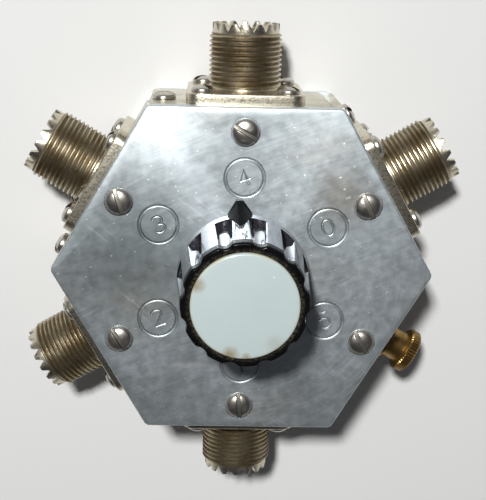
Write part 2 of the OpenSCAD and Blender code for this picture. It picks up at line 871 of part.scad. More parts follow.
module knob_pointer() {
  shoulder_y = foot_r + JOIN;
  ridge_w = 0.1;
  outline = [[-pointer_tip_w / 2, pointer_tip_r], [pointer_tip_w / 2, pointer_tip_r],
             [pointer_w / 2, shoulder_y], [pointer_w / 2, core_r],
             [-pointer_w / 2, core_r], [-pointer_w / 2, shoulder_y]];
  color("black") knob_turned() difference() {
    union() {
      bar(2 * foot_disc_r, 0, foot_disc_h);
      linear_extrude(height = foot_disc_h) polygon(outline);
      difference() {
        hull() {
          translate([0, 0, foot_disc_h - ridge_w])
            linear_extrude(height = ridge_w)
              polygon(outline);
          translate([-ridge_w / 2, cone_at(pointer_climb), foot_disc_h])
            cube([ridge_w, ridge_w, pointer_climb]);
        }
        knob_cone(foot_disc_h, knob_h, seat_clear);
      }
    }
    bar(2 * recess_r, -CUT, knob_h);
  }
}

// Straight wall, rounded edge and shallow dome that run into each other
module knob_cap() {
  top_h = knob_h + cap_rise;
  edge_x = cap_d / 2 - cap_edge_r;
  edge_h = top_h - cap_dome_r + sqrt(pow(cap_dome_r - cap_edge_r, 2) - pow(edge_x, 2));
  edge_turn = acos(edge_x / (cap_dome_r - cap_edge_r));
  edge_steps = 6;
  dome_steps = 10;
  edge = [for (step = [0 : edge_steps])
    [edge_x + cap_edge_r * cos(edge_turn * step / edge_steps),
     edge_h + cap_edge_r * sin(edge_turn * step / edge_steps)]];
  dome = [for (step = [1 : dome_steps])
    let (turn = edge_turn + (90 - edge_turn) * step / dome_steps)
      [cap_dome_r * cos(turn), top_h - cap_dome_r + cap_dome_r * sin(turn)]];
  color("lightgray") knob_turned()
    rotate_extrude()
      polygon(concat([[0, cap_seat_h], [cap_d / 2, cap_seat_h]], edge, dome));
}

module knob_insert() {
  color("goldenrod") knob_turned() difference() {
    bar(insert_d, recess_h, recess_h + insert_l);
    bar(shaft_d + 2 * seat_clear, 0, shaft_top_z - knob_z + blind_room);
    set_screw_hole(set_screw_d + 2 * seat_clear);
  }
}

module set_screw() {
  tip_r = shaft_r - shaft_flat_depth + seat_clear;
  color("dimgray") knob_turned()
    translate([0, 0, set_screw_z - knob_z])
      rotate([90, 0, 0])
        difference() {
          bar(set_screw_d, tip_r, tip_r + set_screw_l);
          translate([-set_screw_d, -set_slot_w / 2, tip_r + set_screw_l - set_slot_depth])
            cube([2 * set_screw_d, set_slot_w, set_slot_depth + CUT]);
        }
}

// ---------- bushing and shaft ----------

module bushing() {
  color("goldenrod") difference() {
    union() {
      bar(bushing_d, plate_z - CUT, bushing_top_z);
      bar(bushing_collar_d, collar_z, plate_z);
      bar(bushing_d, detent_z, collar_z + CUT);
    }
    bar(shaft_d + 2 * run_clear, detent_z - CUT, bushing_top_z + CUT);
  }
}

module bushing_washer() {
  color("lightgray")
    ring(bushing_washer_d, bushing_d + 2 * seat_clear, face_z, face_z + bushing_washer_t);
}

module bushing_nut() {
  z0 = face_z + bushing_washer_t;
  color("lightgray")
    hex_nut(bushing_nut_af, bushing_d + 2 * seat_clear, z0, z0 + bushing_nut_t);
}

module shaft() {
  color("lightgray") difference() {
    union() {
      bar(shaft_d, shaft_collar_z, shaft_top_z);
      bar(2 * shaft_collar_r, shaft_collar_z, shaft_collar_z + shaft_collar_t);
      driving_section(0, shaft_end_z, shaft_collar_z + CUT);
    }
    ring(2 * shaft_d, 2 * groove_r, groove_z, groove_z + clip_t + end_play);
    rotate([0, 0, knob_clocking])
      translate([-shaft_d, -shaft_d - shaft_r + shaft_flat_depth, insert_z])
        cube([2 * shaft_d, shaft_d, shaft_top_z - insert_z + CUT]);
  }
}

module shaft_clip() {
  color("dimgray") difference() {
    ring(2 * clip_r, 2 * (groove_r + seat_clear), groove_z, groove_z + clip_t);
    translate([0, -groove_r, groove_z - CUT]) cube([clip_r + CUT, 2 * groove_r, clip_t + 2 * CUT]);
  }
}

// ---------- selector ----------

// Children at the spacer posts, midway between the sides
module at_spacers() {
  for (turn = [0 : 2])
    rotate([0, 0, STEP / 2 + 2 * STEP * turn])
      translate([0, spacer_circle_r, 0])
        children();
}

// Children at the two posts of the spring
module at_detent_posts() {
  for (y = [-detent_post_y, detent_post_y])
    translate([detent_post_x, y, 0])
      children();
}

module detent_plate() {
  color("lightsteelblue") {
    difference() {
      bar(wafer_d, detent_z, collar_z);
      bar(bushing_d + 2 * seat_clear, detent_z - CUT, collar_z + CUT);
      at_spacers() bar(tenon_hole_d, detent_z - CUT, collar_z + CUT);
      at_detent_posts() bar(detent_post_d + 2 * seat_clear, detent_z - CUT, collar_z + CUT);
    }
    rotate([0, 0, -STEP / 2])
      translate([0, key_circle_r, 0])
        bar(key_d, collar_z - CUT, plate_z + key_h);
    for (turn = [-stop_turn, travel + stop_turn])
      rotate([0, 0, turn])
        translate([0, stop_circle_r, 0])
          bar(2 * stop_r, star_z + star_t + part_gap, detent_z + CUT);
  }
}

module detent_posts() {
  color("lightgray")
    at_detent_posts() {
      bar(detent_post_d, star_z, collar_z);
      bar(detent_post_d + 2 * post_head_brim, star_z - post_head_t, star_z);
    }
}

module detent_spring() {
  straight = detent_post_y;
  color("steelblue") translate([0, 0, leaf_z]) {
    difference() {
      union() {
        translate([bump_x, -straight, 0]) cube([leaf_t, 2 * straight, leaf_h]);
        translate([bump_x, 0, 0]) cylinder(r = bump_r, h = leaf_h);
      }
      translate([bump_x, 0, -CUT]) cylinder(r = bump_r - leaf_t, h = leaf_h + 2 * CUT);
      translate([bump_x + leaf_t, -2 * bump_r, -CUT])
        cube([2 * bump_r, 4 * bump_r, leaf_h + 2 * CUT]);
    }
    at_detent_posts() ring(2 * eye_r, 2 * (eye_r - leaf_t), 0, leaf_h);
  }
}

module star_wheel() {
  color("darkgray") {
    difference() {
      bar(star_d, star_z, star_z + star_t);
      driving_section(seat_clear, star_z - CUT, star_z + star_t + CUT);
      for (step = [0 : SIDES - 1])
        rotate([0, 0, STEP * step])
          translate([bump_x, 0, 0])
            bar(2 * notch_r, star_z - CUT, star_z + star_t + CUT);
    }
    translate([0, stop_circle_r, 0])
      bar(2 * stop_r, star_z + star_t - CUT, detent_z - part_gap);
  }
}

module spacer_posts() {
  color("goldenrod")
    at_spacers() {
      bar(spacer_d, wafer_top_z, detent_z);
      bar(tenon_d, wafer_z - tenon_head_h, collar_z + tenon_head_h);
      bar(tenon_head_d, wafer_z - tenon_head_h, wafer_z);
      bar(tenon_head_d, collar_z, collar_z + tenon_head_h);
    }
}

module stator_wafer() {
  color("peru") difference() {
    bar(wafer_d, wafer_z, wafer_top_z);
    bar(2 * wafer_hole_r, wafer_z - CUT, wafer_top_z + CUT);
    at_spacers() bar(tenon_hole_d, wafer_z - CUT, wafer_top_z + CUT);
    at_rivets() bar(rivet_hole_d, wafer_z - CUT, wafer_top_z + CUT);
  }
}

// Children at the rivets of the contact strips
module at_rivets() {
  for (side = SWITCHED_SIDES)
    rotate([0, 0, STEP * side])
      for (r = rivet_rs)
        translate([0, r, 0])
          children();
}

module contact_strips() {
  color("gold") difference() {
    for (side = SWITCHED_SIDES)
      rotate([0, 0, STEP * side])
        translate([-strip_w / 2, strip_in_r, strip_z])
          cube([strip_w, strip_out_r - strip_in_r, strip_t]);
    at_rivets() bar(rivet_hole_d, strip_z - CUT, wafer_z + CUT);
  }
}

module contact_rivets() {
  color("goldenrod")
    at_rivets() {
      bar(rivet_d, strip_z, wafer_top_z + JOIN);
      bar(rivet_head_d, wafer_top_z, wafer_top_z + rivet_head_h);
    }
}

module rotor_hub() {
  color("peru") difference() {
    bar(hub_d, blade_z + blade_t, hub_top_z);
    driving_section(seat_clear, shaft_end_z - blind_room, hub_top_z + CUT);
    bar(button_hole_d, blade_z, blade_z + blade_t + button_stem_l + blind_room);
  }
}

// Flat blade, broad at the hub and narrow at the contact
module rotor_blade() {
  color("gold") difference() {
    translate([0, 0, blade_z])
      linear_extrude(height = blade_t)
        polygon([[-blade_root_w / 2, -blade_tail], [blade_root_w / 2, -blade_tail],
                 [blade_root_w / 2, hub_d / 2], [blade_tip_w / 2, blade_reach],
                 [-blade_tip_w / 2, blade_reach], [-blade_root_w / 2, hub_d / 2]]);
    bar(button_hole_d, blade_z - CUT, blade_z + blade_t + CUT);
  }
}

module rotor_button() {
  color("goldenrod") {
    bar(2 * button_r, button_z, blade_z);
    bar(button_stem_d, blade_z - CUT, blade_z + blade_t + button_stem_l);
  }
}

module common_strip() {
  color("gold")
    rotate([0, 0, STEP * COMMON_INDEX])
      translate([-strip_w / 2, -button_r, common_z])
        cube([strip_w, flat_r - cup_reach + cup_bore_l + button_r, strip_t]);
}

module jumper_wires() {
  color("orange")
    for (side = SWITCHED_SIDES)
      rotate([0, 0, STEP * side])
        translate([0, 0, axis_z])
          outwards()
            bar(wire_d, wire_in_r, side == GROUND_INDEX ? wire_stud_r : wire_cup_r);
}

front_plate();
back_cover();
wall(0);  // wall_4
wall(1);  // wall_3
wall(2);  // wall_2
wall(3);  // wall_1
wall(GROUND_INDEX);  // wall_ground
wall(COMMON_INDEX);  // wall_common
face_screws();
back_screws();
corner_screws();
socket_shell(0);  // socket_4_shell
socket_shell(1);  // socket_3_shell
socket_shell(2);  // socket_2_shell
socket_shell(3);  // socket_1_shell
socket_shell(COMMON_INDEX);  // socket_common_shell
socket_insulator(0);  // socket_4_insulator
socket_insulator(1);  // socket_3_insulator
socket_insulator(2);  // socket_2_insulator
socket_insulator(3);  // socket_1_insulator
socket_insulator(COMMON_INDEX);  // socket_common_insulator
socket_contact(0);  // socket_4_contact
socket_contact(1);  // socket_3_contact
socket_contact(2);  // socket_2_contact
socket_contact(3);  // socket_1_contact
socket_contact(COMMON_INDEX);  // socket_common_contact
flange_screws();
flange_nuts();
ground_stud();
ground_lock_washer();
ground_hex_nut();
ground_washer();
thumb_nut();
knob_body();
knob_band();
knob_pointer();
knob_cap();
knob_insert();
set_screw();
bushing();
bushing_washer();
bushing_nut();
shaft();
shaft_clip();
detent_plate();
detent_posts();
detent_spring();
star_wheel();
spacer_posts();
stator_wafer();
contact_strips();
contact_rivets();
rotor_hub();
rotor_blade();
rotor_button();
common_strip();
jumper_wires();
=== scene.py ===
"""Visible pieces and finishes of a coaxial antenna switch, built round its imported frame.

The dataclasses hold sizes in millimetres. The helpers that make meshes turn them into metres,
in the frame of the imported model: z = 0 is the back of the box, z is the knob's axis and +Y points
to the socket that the pointer shows at rest. Sides are numbered from there, counter-clockwise.
"""

import json
import logging
import math
from contextlib import contextmanager
from dataclasses import dataclass
from enum import Enum
from functools import reduce
from typing import Any, Callable, Iterator, Sequence

import bmesh
import bpy
from mathutils import Matrix, Vector


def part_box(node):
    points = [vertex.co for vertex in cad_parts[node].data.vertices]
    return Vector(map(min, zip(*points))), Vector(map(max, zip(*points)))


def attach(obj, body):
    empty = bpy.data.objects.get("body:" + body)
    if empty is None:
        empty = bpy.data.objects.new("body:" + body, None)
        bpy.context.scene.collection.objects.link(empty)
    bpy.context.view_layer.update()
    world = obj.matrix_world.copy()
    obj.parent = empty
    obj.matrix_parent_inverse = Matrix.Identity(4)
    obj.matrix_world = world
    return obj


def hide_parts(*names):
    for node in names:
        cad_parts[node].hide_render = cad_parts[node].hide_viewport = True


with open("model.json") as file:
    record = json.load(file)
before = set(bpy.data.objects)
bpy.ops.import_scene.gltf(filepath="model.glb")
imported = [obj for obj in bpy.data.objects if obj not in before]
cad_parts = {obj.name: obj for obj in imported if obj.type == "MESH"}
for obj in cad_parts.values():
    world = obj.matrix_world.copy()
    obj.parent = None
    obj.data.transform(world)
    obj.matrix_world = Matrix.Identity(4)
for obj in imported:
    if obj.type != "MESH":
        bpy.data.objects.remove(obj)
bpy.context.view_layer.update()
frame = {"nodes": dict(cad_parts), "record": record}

MM = 0.001
HAIR = 1e-6  # metres within which two places count as one
OVER = 1.0  # millimetres that a cutter goes past the faces it cuts
SIDES = 6
STEP = math.tau / SIDES
SIDE_NAMES = ("4", "3", "2", "1", "ground", "common")
GROUND = 4
SOCKET_SIDES = (0, 1, 2, 3, 5)
LOG = logging.getLogger("antenna_switch")

Object = bpy.types.Object
Socket = bpy.types.NodeSocket
Flat = tuple[float, float]
Triple = tuple[float, float, float]
Colour = tuple[float, float, float, float]
Profile = Sequence[Flat]


# ---------------------------------------------------------------- modelling by hand


class Kind(Enum):
    """What edit mode selects, and where bmesh keeps it."""

    VERT = "verts"
    EDGE = "edges"


class Join(Enum):
    """What a boolean modifier does with its tool."""

    AWAY = "DIFFERENCE"
    WITH = "UNION"


def take(*pieces: Object) -> None:
    """Select these objects alone and make the first of them active.

    Args:
        pieces: Objects to select. With none, everything is deselected.
    """
    bpy.ops.object.select_all(action="DESELECT")
    for piece in pieces:
        piece.select_set(True)
    bpy.context.view_layer.objects.active = pieces[0] if pieces else None


def settled(name: str) -> Object:
    """Name the primitive that was just added and put its place into its mesh.

    Args:
        name: Name of the piece.

    Returns:
        The piece, at the origin and unturned.
    """
    piece = bpy.context.object
    piece.name = name
    bpy.ops.object.transform_apply(location=True, rotation=True, scale=True)
    return piece


@contextmanager
def editing(piece: Object) -> Iterator[bmesh.types.BMesh]:
    """Open a piece in edit mode with nothing selected.

    Args:
        piece: The piece to edit.

    Yields:
        The edit mode's own bmesh, valid until the next operator.
    """
    take(piece)
    bpy.ops.object.mode_set(mode="EDIT")
    bpy.ops.mesh.select_mode(type=Kind.VERT.name)
    bpy.ops.mesh.select_all(action="DESELECT")
    yield bmesh.from_edit_mesh(piece.data)
    bpy.ops.object.mode_set(mode="OBJECT")


def pick(kind: Kind, wanted: Callable[[Any], bool]) -> None:
    """In edit mode, select exactly the elements that fit.

    Args:
        kind: What is looked through.
        wanted: Says whether one element is selected.
    """
    bpy.ops.mesh.select_mode(type=kind.name)
    bpy.ops.mesh.select_all(action="DESELECT")
    mesh = bpy.context.object.data
    shell = bmesh.from_edit_mesh(mesh)
    for element in getattr(shell, kind.value):
        element.select_set(wanted(element))
    shell.select_flush_mode()
    bmesh.update_edit_mesh(mesh)


def close_up() -> None:
    """In edit mode, merge doubles all over and turn every face outwards."""
    bpy.ops.mesh.select_all(action="SELECT")
    bpy.ops.mesh.remove_doubles(threshold=0.1 * HAIR)
    bpy.ops.mesh.normals_make_consistent(inside=False)


def turned(name: str, profile: Profile, steps: int = 64, ring: bool = False) -> Object:
    """Turn a profile round the Z axis, as on a lathe.

    Args:
        name: Name of the piece.
        profile: Radius and height of each point. Only the last radius may be zero.
        steps: Faces round the axis.
        ring: The profile comes back to its first point. Otherwise both ends are filled.

    Returns:
        The closed piece.
    """
    take()
    radius, height = profile[0]
    start = (0, 0, height * MM)
    bpy.ops.mesh.primitive_circle_add(vertices=steps, radius=radius * MM, location=start)
    piece = settled(name)
    with editing(piece):
        bpy.ops.mesh.select_all(action="SELECT")
        for (r_from, z_from), (r_to, z_to) in zip(profile, profile[1:]):
            rise = (0, 0, (z_to - z_from) * MM)
            bpy.ops.mesh.extrude_region_move(TRANSFORM_OT_translate={"value": rise})
            share = r_to / r_from
            bpy.ops.transform.resize(value=(share, share, 1), center_override=(0, 0, z_to * MM))
        if not ring:
            if profile[-1][0] > 0:
                bpy.ops.mesh.edge_face_add()
            pick(Kind.VERT, lambda vert: vert.index < steps)
            bpy.ops.mesh.edge_face_add()
        close_up()
    return piece


def lofted(name: str, sections: Sequence[Sequence[Triple]], ring: bool) -> Object:
    """Stretch a skin over sections that have as many points each.

    Args:
        name: Name of the piece.
        sections: Points of each section, in order round the axis.
        ring: The last section is the first one again. Otherwise both ends are filled.

    Returns:
        The closed piece.
    """
    count = len(sections[0])
    take()
    bpy.ops.mesh.primitive_circle_add(vertices=count, radius=1)
    piece = settled(name)
    with editing(piece):
        bpy.ops.mesh.select_all(action="SELECT")
        for _ in sections[1:]:
            bpy.ops.mesh.extrude_region_move(TRANSFORM_OT_translate={"value": (0, 0, 1)})
        shell = bmesh.from_edit_mesh(piece.data)
        for vert in shell.verts:
            level = round(vert.co.z)
            place = round((math.atan2(vert.co.y, vert.co.x) / math.tau - 0.25) * count) % count
            vert.co = Vector(sections[level][place]) * MM
        if not ring:
            bpy.ops.mesh.edge_face_add()
            pick(Kind.VERT, lambda vert: vert.index < count)
            bpy.ops.mesh.edge_face_add()
        close_up()
    return piece


def prism(name: str, outline: Profile, low: float, high: float) -> Object:
    """Raise a flat outline between two heights.

    Args:
        name: Name of the piece.
        outline: Corners of the outline, counter-clockwise.
        low: Height of its lower face.
        high: Height of its upper face.

    Returns:
        The closed piece.
    """
    sections = [[(x, y, height) for x, y in outline] for height in (low, high)]
    return lofted(name, sections, ring=False)


def above(height: float) -> Callable[[Any], bool]:
    """Test for an edge that lies above a height in metres."""
    return lambda edge: min(vert.co.z for vert in edge.verts) > height


def bevel_picked(width: float, segments: int) -> None:
    """In edit mode, bevel the selected edges by a width in millimetres."""
    bpy.ops.mesh.bevel(offset=width * MM, segments=segments, affect="EDGES")


def block(name: str, centre: Sequence[float], size: Sequence[float]) -> Object:
    """Add a block that only serves as a cutter.

    Args:
        name: Name of the block.
        centre: Its centre.
        size: Its length along each axis.

    Returns:
        The block.
    """
    take()
    bpy.ops.mesh.primitive_cube_add(size=1, location=Vector(centre) * MM, scale=Vector(size) * MM)
    return settled(name)


def cut(piece: Object, tool: Object, join: Join = Join.AWAY, crossing: bool = False) -> None:
    """Apply a boolean to a piece and throw its tool away.

    Args:
        piece: The piece that is changed.
        tool: The closed mesh that changes it.
        join: What happens where the two meet.
        crossing: The tool's own parts run through each other.
    """
    take(piece)
    modifier = piece.modifiers.new("cut", "BOOLEAN")
    modifier.operation = join.value
    modifier.object = tool
    modifier.solver = "EXACT"
    modifier.use_self = crossing
    bpy.ops.object.modifier_apply(modifier=modifier.name)
    bpy.data.objects.remove(tool)


def ease_edges(piece: Object, width: float, angle: float = 35) -> None:
    """Round every sharp edge of a piece a little.

    Args:
        piece: The piece.
        width: Width of the rounding.
        angle: Edges that turn by more degrees than this are rounded.
    """
    take(piece)
    modifier = piece.modifiers.new("edges", "BEVEL")
    modifier.width = width * MM
    modifier.segments = 2
    modifier.limit_method = "ANGLE"
    modifier.angle_limit = math.radians(angle)
    bpy.ops.object.modifier_apply(modifier=modifier.name)


def smooth(piece: Object, angle: float = 32) -> None:
    """Shade a piece smooth, apart from edges that turn by more degrees than the angle."""
    take(piece)
    bpy.ops.object.shade_smooth_by_angle(angle=math.radians(angle))


def joined(name: str, pieces: Sequence[Object]) -> Object:
    """Make one object of several.

    Args:
        name: Name of the result.
        pieces: Objects that become part of it.

    Returns:
        The result.
    """
    take(*pieces)
    if len(pieces) > 1:
        bpy.ops.object.join()
    pieces[0].name = name
    return pieces[0]


def placed(piece: Object, matrix: Matrix, name: str = "", keep: bool = True) -> Object:
    """Put a piece in its place, and the place into its mesh.

    Args:
        piece: The piece, at the origin.
        matrix: Where it goes, in metres.
        name: Name of the result.
        keep: A copy with a mesh of its own is placed, and the piece itself stays.

    Returns:
        The placed object.
    """
    take(piece)
    if keep:
        bpy.ops.object.duplicate(linked=False)
    result = bpy.context.object
    result.name = name or result.name
    result.matrix_world = matrix
    bpy.ops.object.transform_apply(location=True, rotation=True, scale=True)
    return result


def remember_place(piece: Object) -> None:
    """Store each point's place in the piece's own frame, for finishes that follow the piece.

    Args:
        piece: The piece, before it is put in its place.
    """
    own = piece.data.attributes.new("own_place", "FLOAT_VECTOR", "POINT")
    for vert in piece.data.vertices:
        own.data[vert.index].vector = vert.co


def arc(centre: Flat, size: Flat, start: float, end: float, steps: int) -> list[Flat]:
    """Points along part of an ellipse.

    Args:
        centre: Its centre.
        size: Its two half axes.
        start: First angle in degrees.
        end: Last angle in degrees.
        steps: Stretches between the points.

    Returns:
        The points, both ends among them.
    """
    turns = [math.radians(start + (end - start) * step / steps) for step in range(steps + 1)]
    return [(centre[0] + size[0] * math.cos(t), centre[1] + size[1] * math.sin(t)) for t in turns]


def moved(x: float, y: float, z: float) -> Matrix:
    """Matrix of a shift given in millimetres."""
    return Matrix.Translation(Vector((x, y, z)) * MM)


def spun(turn: float) -> Matrix:
    """Matrix of a turn round Z, in radians."""
    return Matrix.Rotation(turn, 4, "Z")


@dataclass(frozen=True)
class Layout:
    """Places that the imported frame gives, in millimetres."""

    face_z: float
    plate_z: float
    flat_r: float
    axis_z: float
    knob_z: float

    @classmethod
    def from_frame(cls) -> "Layout":
        """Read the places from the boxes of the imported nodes.

        Returns:
            The places.
        """
        plate_low, plate_high = (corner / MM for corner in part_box("front_plate"))
        shell_low, shell_high = (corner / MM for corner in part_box("socket_4_shell"))
        knob_low, _ = (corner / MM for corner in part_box("knob_band"))
        axis_z = (shell_low.z + shell_high.z) / 2
        return cls(plate_high.z, plate_low.z, plate_high.y, axis_z, knob_low.z)

    def outwards(self, side: int, height: float | None = None) -> Matrix:
        """Frame of one side: its Z points outwards from the wall's face.

        Args:
            side: Number of the side.
            height: Height above the back, the sockets' axis if none is given.

        Returns:
            The matrix, in metres.
        """
        level = self.axis_z if height is None else height
        tipped = Matrix.Rotation(-math.pi / 2, 4, "X")
        return spun(STEP * side) @ moved(0, self.flat_r, level) @ tipped


# ---------------------------------------------------------------- finishes


class Wiring:
    """Adds shader nodes to one tree and links them as they are added."""

    def __init__(self, tree: bpy.types.NodeTree) -> None:
        """Keep the tree that the nodes go into."""
        self.tree = tree

    def feed(self, node: bpy.types.Node, key: int | str, value: Any) -> None:
        """Link a socket to one input of a node, or set that input's value.

        Args:
            node: The node.
            key: Number or name of the input.
            value: A socket to link, or a plain value.
        """
        if isinstance(value, Socket):
            self.tree.links.new(value, node.inputs[key])
        else:
            node.inputs[key].default_value = value

    def add(self, kind: str, inputs: dict[int | str, Any] | None = None,
            **settings: Any) -> bpy.types.Node:
        """Add one node.

        Args:
            kind: Blender's name of the node's type.
            inputs: Values or sockets for its inputs.
            settings: Values for its own properties.

        Returns:
            The node.
        """
        node = self.tree.nodes.new(kind)
        for key, value in settings.items():
            setattr(node, key, value)
        for key, value in (inputs or {}).items():
            self.feed(node, key, value)
        return node

    def place(self) -> Socket:
        """Object coordinates."""
        return self.add("ShaderNodeTexCoord").outputs["Object"]

    def own_place(self) -> Socket:
        """The place that remember_place stored."""
        return self.add("ShaderNodeAttribute", attribute_name="own_place").outputs["Vector"]

    def maths(self, operation: str, first: Any, second: Any = 0.0, clamp: bool = False) -> Socket:
        """Result of one sum, given Blender's name of the operation and its two values."""
        values = {0: first, 1: second}
        return self.add("ShaderNodeMath", values, operation=operation, use_clamp=clamp).outputs[0]

    def times(self, *values: Any, clamp: bool = False) -> Socket:
        """Product of values, from the left."""
        return reduce(lambda so_far, value: self.maths("MULTIPLY", so_far, value, clamp), values)

    def plus(self, *values: Any, clamp: bool = False) -> Socket:
        """Sum of values, from the left."""
        return reduce(lambda so_far, value: self.maths("ADD", so_far, value, clamp), values)

    def minus(self, first: Any, second: Any) -> Socket:
        """Difference of two values."""
        return self.maths("SUBTRACT", first, second)

    def weighted(self, *pairs: tuple[Socket, float], clamp: bool = False) -> Socket:
        """Sum of values, each times its weight."""
        return self.plus(*(self.times(value, weight) for value, weight in pairs), clamp=clamp)

    def ranged(self, value: Any, low: Any, high: Any, to_low: float = 0.0,
               to_high: float = 1.0) -> Socket:
        """Value carried over from one range to another, and kept inside it."""
        inputs = {0: value, 1: low, 2: high, 3: to_low, 4: to_high}
        return self.add("ShaderNodeMapRange", inputs).outputs[0]

    def mixed(self, share: Any, first: Any, second: Any) -> Socket:
        """Colour between two others, by a share."""
        inputs = {0: share, 6: first, 7: second}
        return self.add("ShaderNodeMix", inputs, data_type="RGBA").outputs[2]

    def noise(self, vector: Socket, scale: Any, detail: float = 2.0,
              roughness: float = 0.5) -> Socket:
        """Value of a noise texture."""
        inputs = {"Vector": vector, "Scale": scale, "Detail": detail, "Roughness": roughness}
        return self.add("ShaderNodeTexNoise", inputs).outputs[0]

    def stretched(self, vector: Socket, turn: Any, size: Any) -> Socket:
        """Coordinates drawn out along a turned direction, by a size along each axis."""
        inputs = {"Vector": vector, "Rotation": turn, "Scale": size}
        return self.add("ShaderNodeMapping", inputs, vector_type="TEXTURE").outputs[0]

    def parts(self, vector: Socket) -> Any:
        """The three parts of a vector, as sockets."""
        return self.add("ShaderNodeSeparateXYZ", {0: vector}).outputs

    def reach(self, vector: Socket) -> tuple[Socket, Socket]:
        """Distance from the Z axis and height, of a vector of coordinates.

        Args:
            vector: The coordinates.

        Returns:
            The distance and the height.
        """
        parts = self.parts(vector)
        squares = self.plus(self.maths("POWER", parts[0], 2.0), self.maths("POWER", parts[1], 2.0))
        return self.maths("SQRT", squares), parts[2]

    def spot(self, vector: Socket, centre: Flat, size: float) -> Socket:
        """Mask that fades out round a point, given with its reach in millimetres.

        Args:
            vector: Coordinates that the mask lies in.
            centre: The point, in the XY plane.
            size: Distance from it at which the mask is gone.

        Returns:
            The mask.
        """
        core = 0.2
        shift = (-centre[0] * MM, -centre[1] * MM, 0)
        centred = self.add("ShaderNodeMapping", {"Vector": vector, "Location": shift})
        radius, _ = self.reach(centred.outputs[0])
        return self.ranged(radius, size * MM, core * size * MM)

    def effect(self, group: bpy.types.NodeTree, **inputs: Any) -> Socket:
        """First output of a shared effect, placed with its own values."""
        return self.add("ShaderNodeGroup", inputs, node_tree=group).outputs[0]

    def bump(self, height: Socket, distance: float, strength: float = 1.0) -> Socket:
        """Normal of a surface raised by a height, at most by a distance in millimetres."""
        inputs = {"Height": height, "Distance": distance * MM, "Strength": strength}
        return self.add("ShaderNodeBump", inputs).outputs[0]


def new_effect(name: str, vectors: Sequence[str],
               values: Sequence[str]) -> tuple[bpy.types.NodeTree, Wiring, Any, bpy.types.Node]:
    """Start a shader node group with one output, a value.

    Args:
        name: Name of the group.
        vectors: Names of its vector inputs.
        values: Names of its value inputs.

    Returns:
        The group, its wiring, the outputs of its input node and its output node.
    """
    group = bpy.data.node_groups.new(name, "ShaderNodeTree")
    for labels, kind in ((vectors, "NodeSocketVector"), (values, "NodeSocketFloat")):
        for label in labels:
            group.interface.new_socket(label, in_out="INPUT", socket_type=kind)
    group.interface.new_socket(name.capitalize(), in_out="OUTPUT", socket_type="NodeSocketFloat")
    wiring = Wiring(group)
    return group, wiring, wiring.add("NodeGroupInput").outputs, wiring.add("NodeGroupOutput")


class Effects:
    """Shader groups that several finishes share, each built once."""

    def __init__(self) -> None:
        """Build all the groups."""
        self.streaks = self._streaks()
        self.arcs = self._arcs()
        self.scratches = self._scratches()
        self.mottle = self._mottle()
        self.specks = self._specks()

    @staticmethod
    def _streaks() -> bpy.types.NodeTree:
        """Fine parallel lines, as a brush or a lathe leaves them.

        Returns:
            The group.
        """
        group, w, given, out = new_effect("streaks", ("Vector", "Turn", "Size"), ("Scale",))
        drawn = w.stretched(given["Vector"], given["Turn"], given["Size"])
        fine = w.noise(drawn, given["Scale"], 3.0, 0.65)
        w.feed(out, 0, w.ranged(fine, 0.3, 0.7))
        return group

    @staticmethod
    def _arcs() -> bpy.types.NodeTree:
        """Fine lines round the Z axis, as a sweeping polish leaves them.

        Returns:
            The group.
        """
        group, w, given, out = new_effect("arcs", ("Vector",), ("Scale", "Length"))
        parts = w.parts(given["Vector"])
        radius, _ = w.reach(given["Vector"])
        way = w.times(w.maths("ARCTAN2", parts[1], parts[0]), given["Length"])
        rolled = w.add("ShaderNodeCombineXYZ", {0: radius, 1: way}).outputs[0]
        w.feed(out, 0, w.ranged(w.noise(rolled, given["Scale"], 3.0, 0.65), 0.3, 0.7))
        return group

    @staticmethod
    def _scratches() -> bpy.types.NodeTree:
        """Single thin lines in patches.

        Returns:
            The group.
        """
        vectors, values = ("Vector", "Turn", "Size"), ("Scale", "Patch")
        group, w, given, out = new_effect("scratches", vectors, values)
        drawn = w.stretched(given["Vector"], given["Turn"], given["Size"])
        lines = w.ranged(w.noise(drawn, given["Scale"], 1.0, 0.4), 0.63, 0.72)
        patches = w.ranged(w.noise(given["Vector"], given["Patch"], 1.0), 0.48, 0.6)
        w.feed(out, 0, w.times(lines, patches))
        return group

    @staticmethod
    def _mottle() -> bpy.types.NodeTree:
        """Soft clouds of stain or polish.

        Returns:
            The group.
        """
        group, w, given, out = new_effect("mottle", ("Vector",), ("Scale", "Low", "High"))
        clouds = w.noise(given["Vector"], given["Scale"], 4.0, 0.6)
        w.feed(out, 0, w.ranged(clouds, given["Low"], given["High"]))
        return group

    @staticmethod
    def _specks() -> bpy.types.NodeTree:
        """Small round nicks.

        Returns:
            The group.
        """
        group, w, given, out = new_effect("specks", ("Vector",), ("Scale", "Size"))
        cells = w.add("ShaderNodeTexVoronoi", {"Vector": given["Vector"], "Scale": given["Scale"]})
        chance = w.add("ShaderNodeSeparateColor", {0: cells.outputs["Color"]}).outputs[0]
        few = w.ranged(chance, 0.7, 0.75)
        near = w.maths("LESS_THAN", cells.outputs["Distance"], given["Size"])
        w.feed(out, 0, w.times(near, few))
        return group


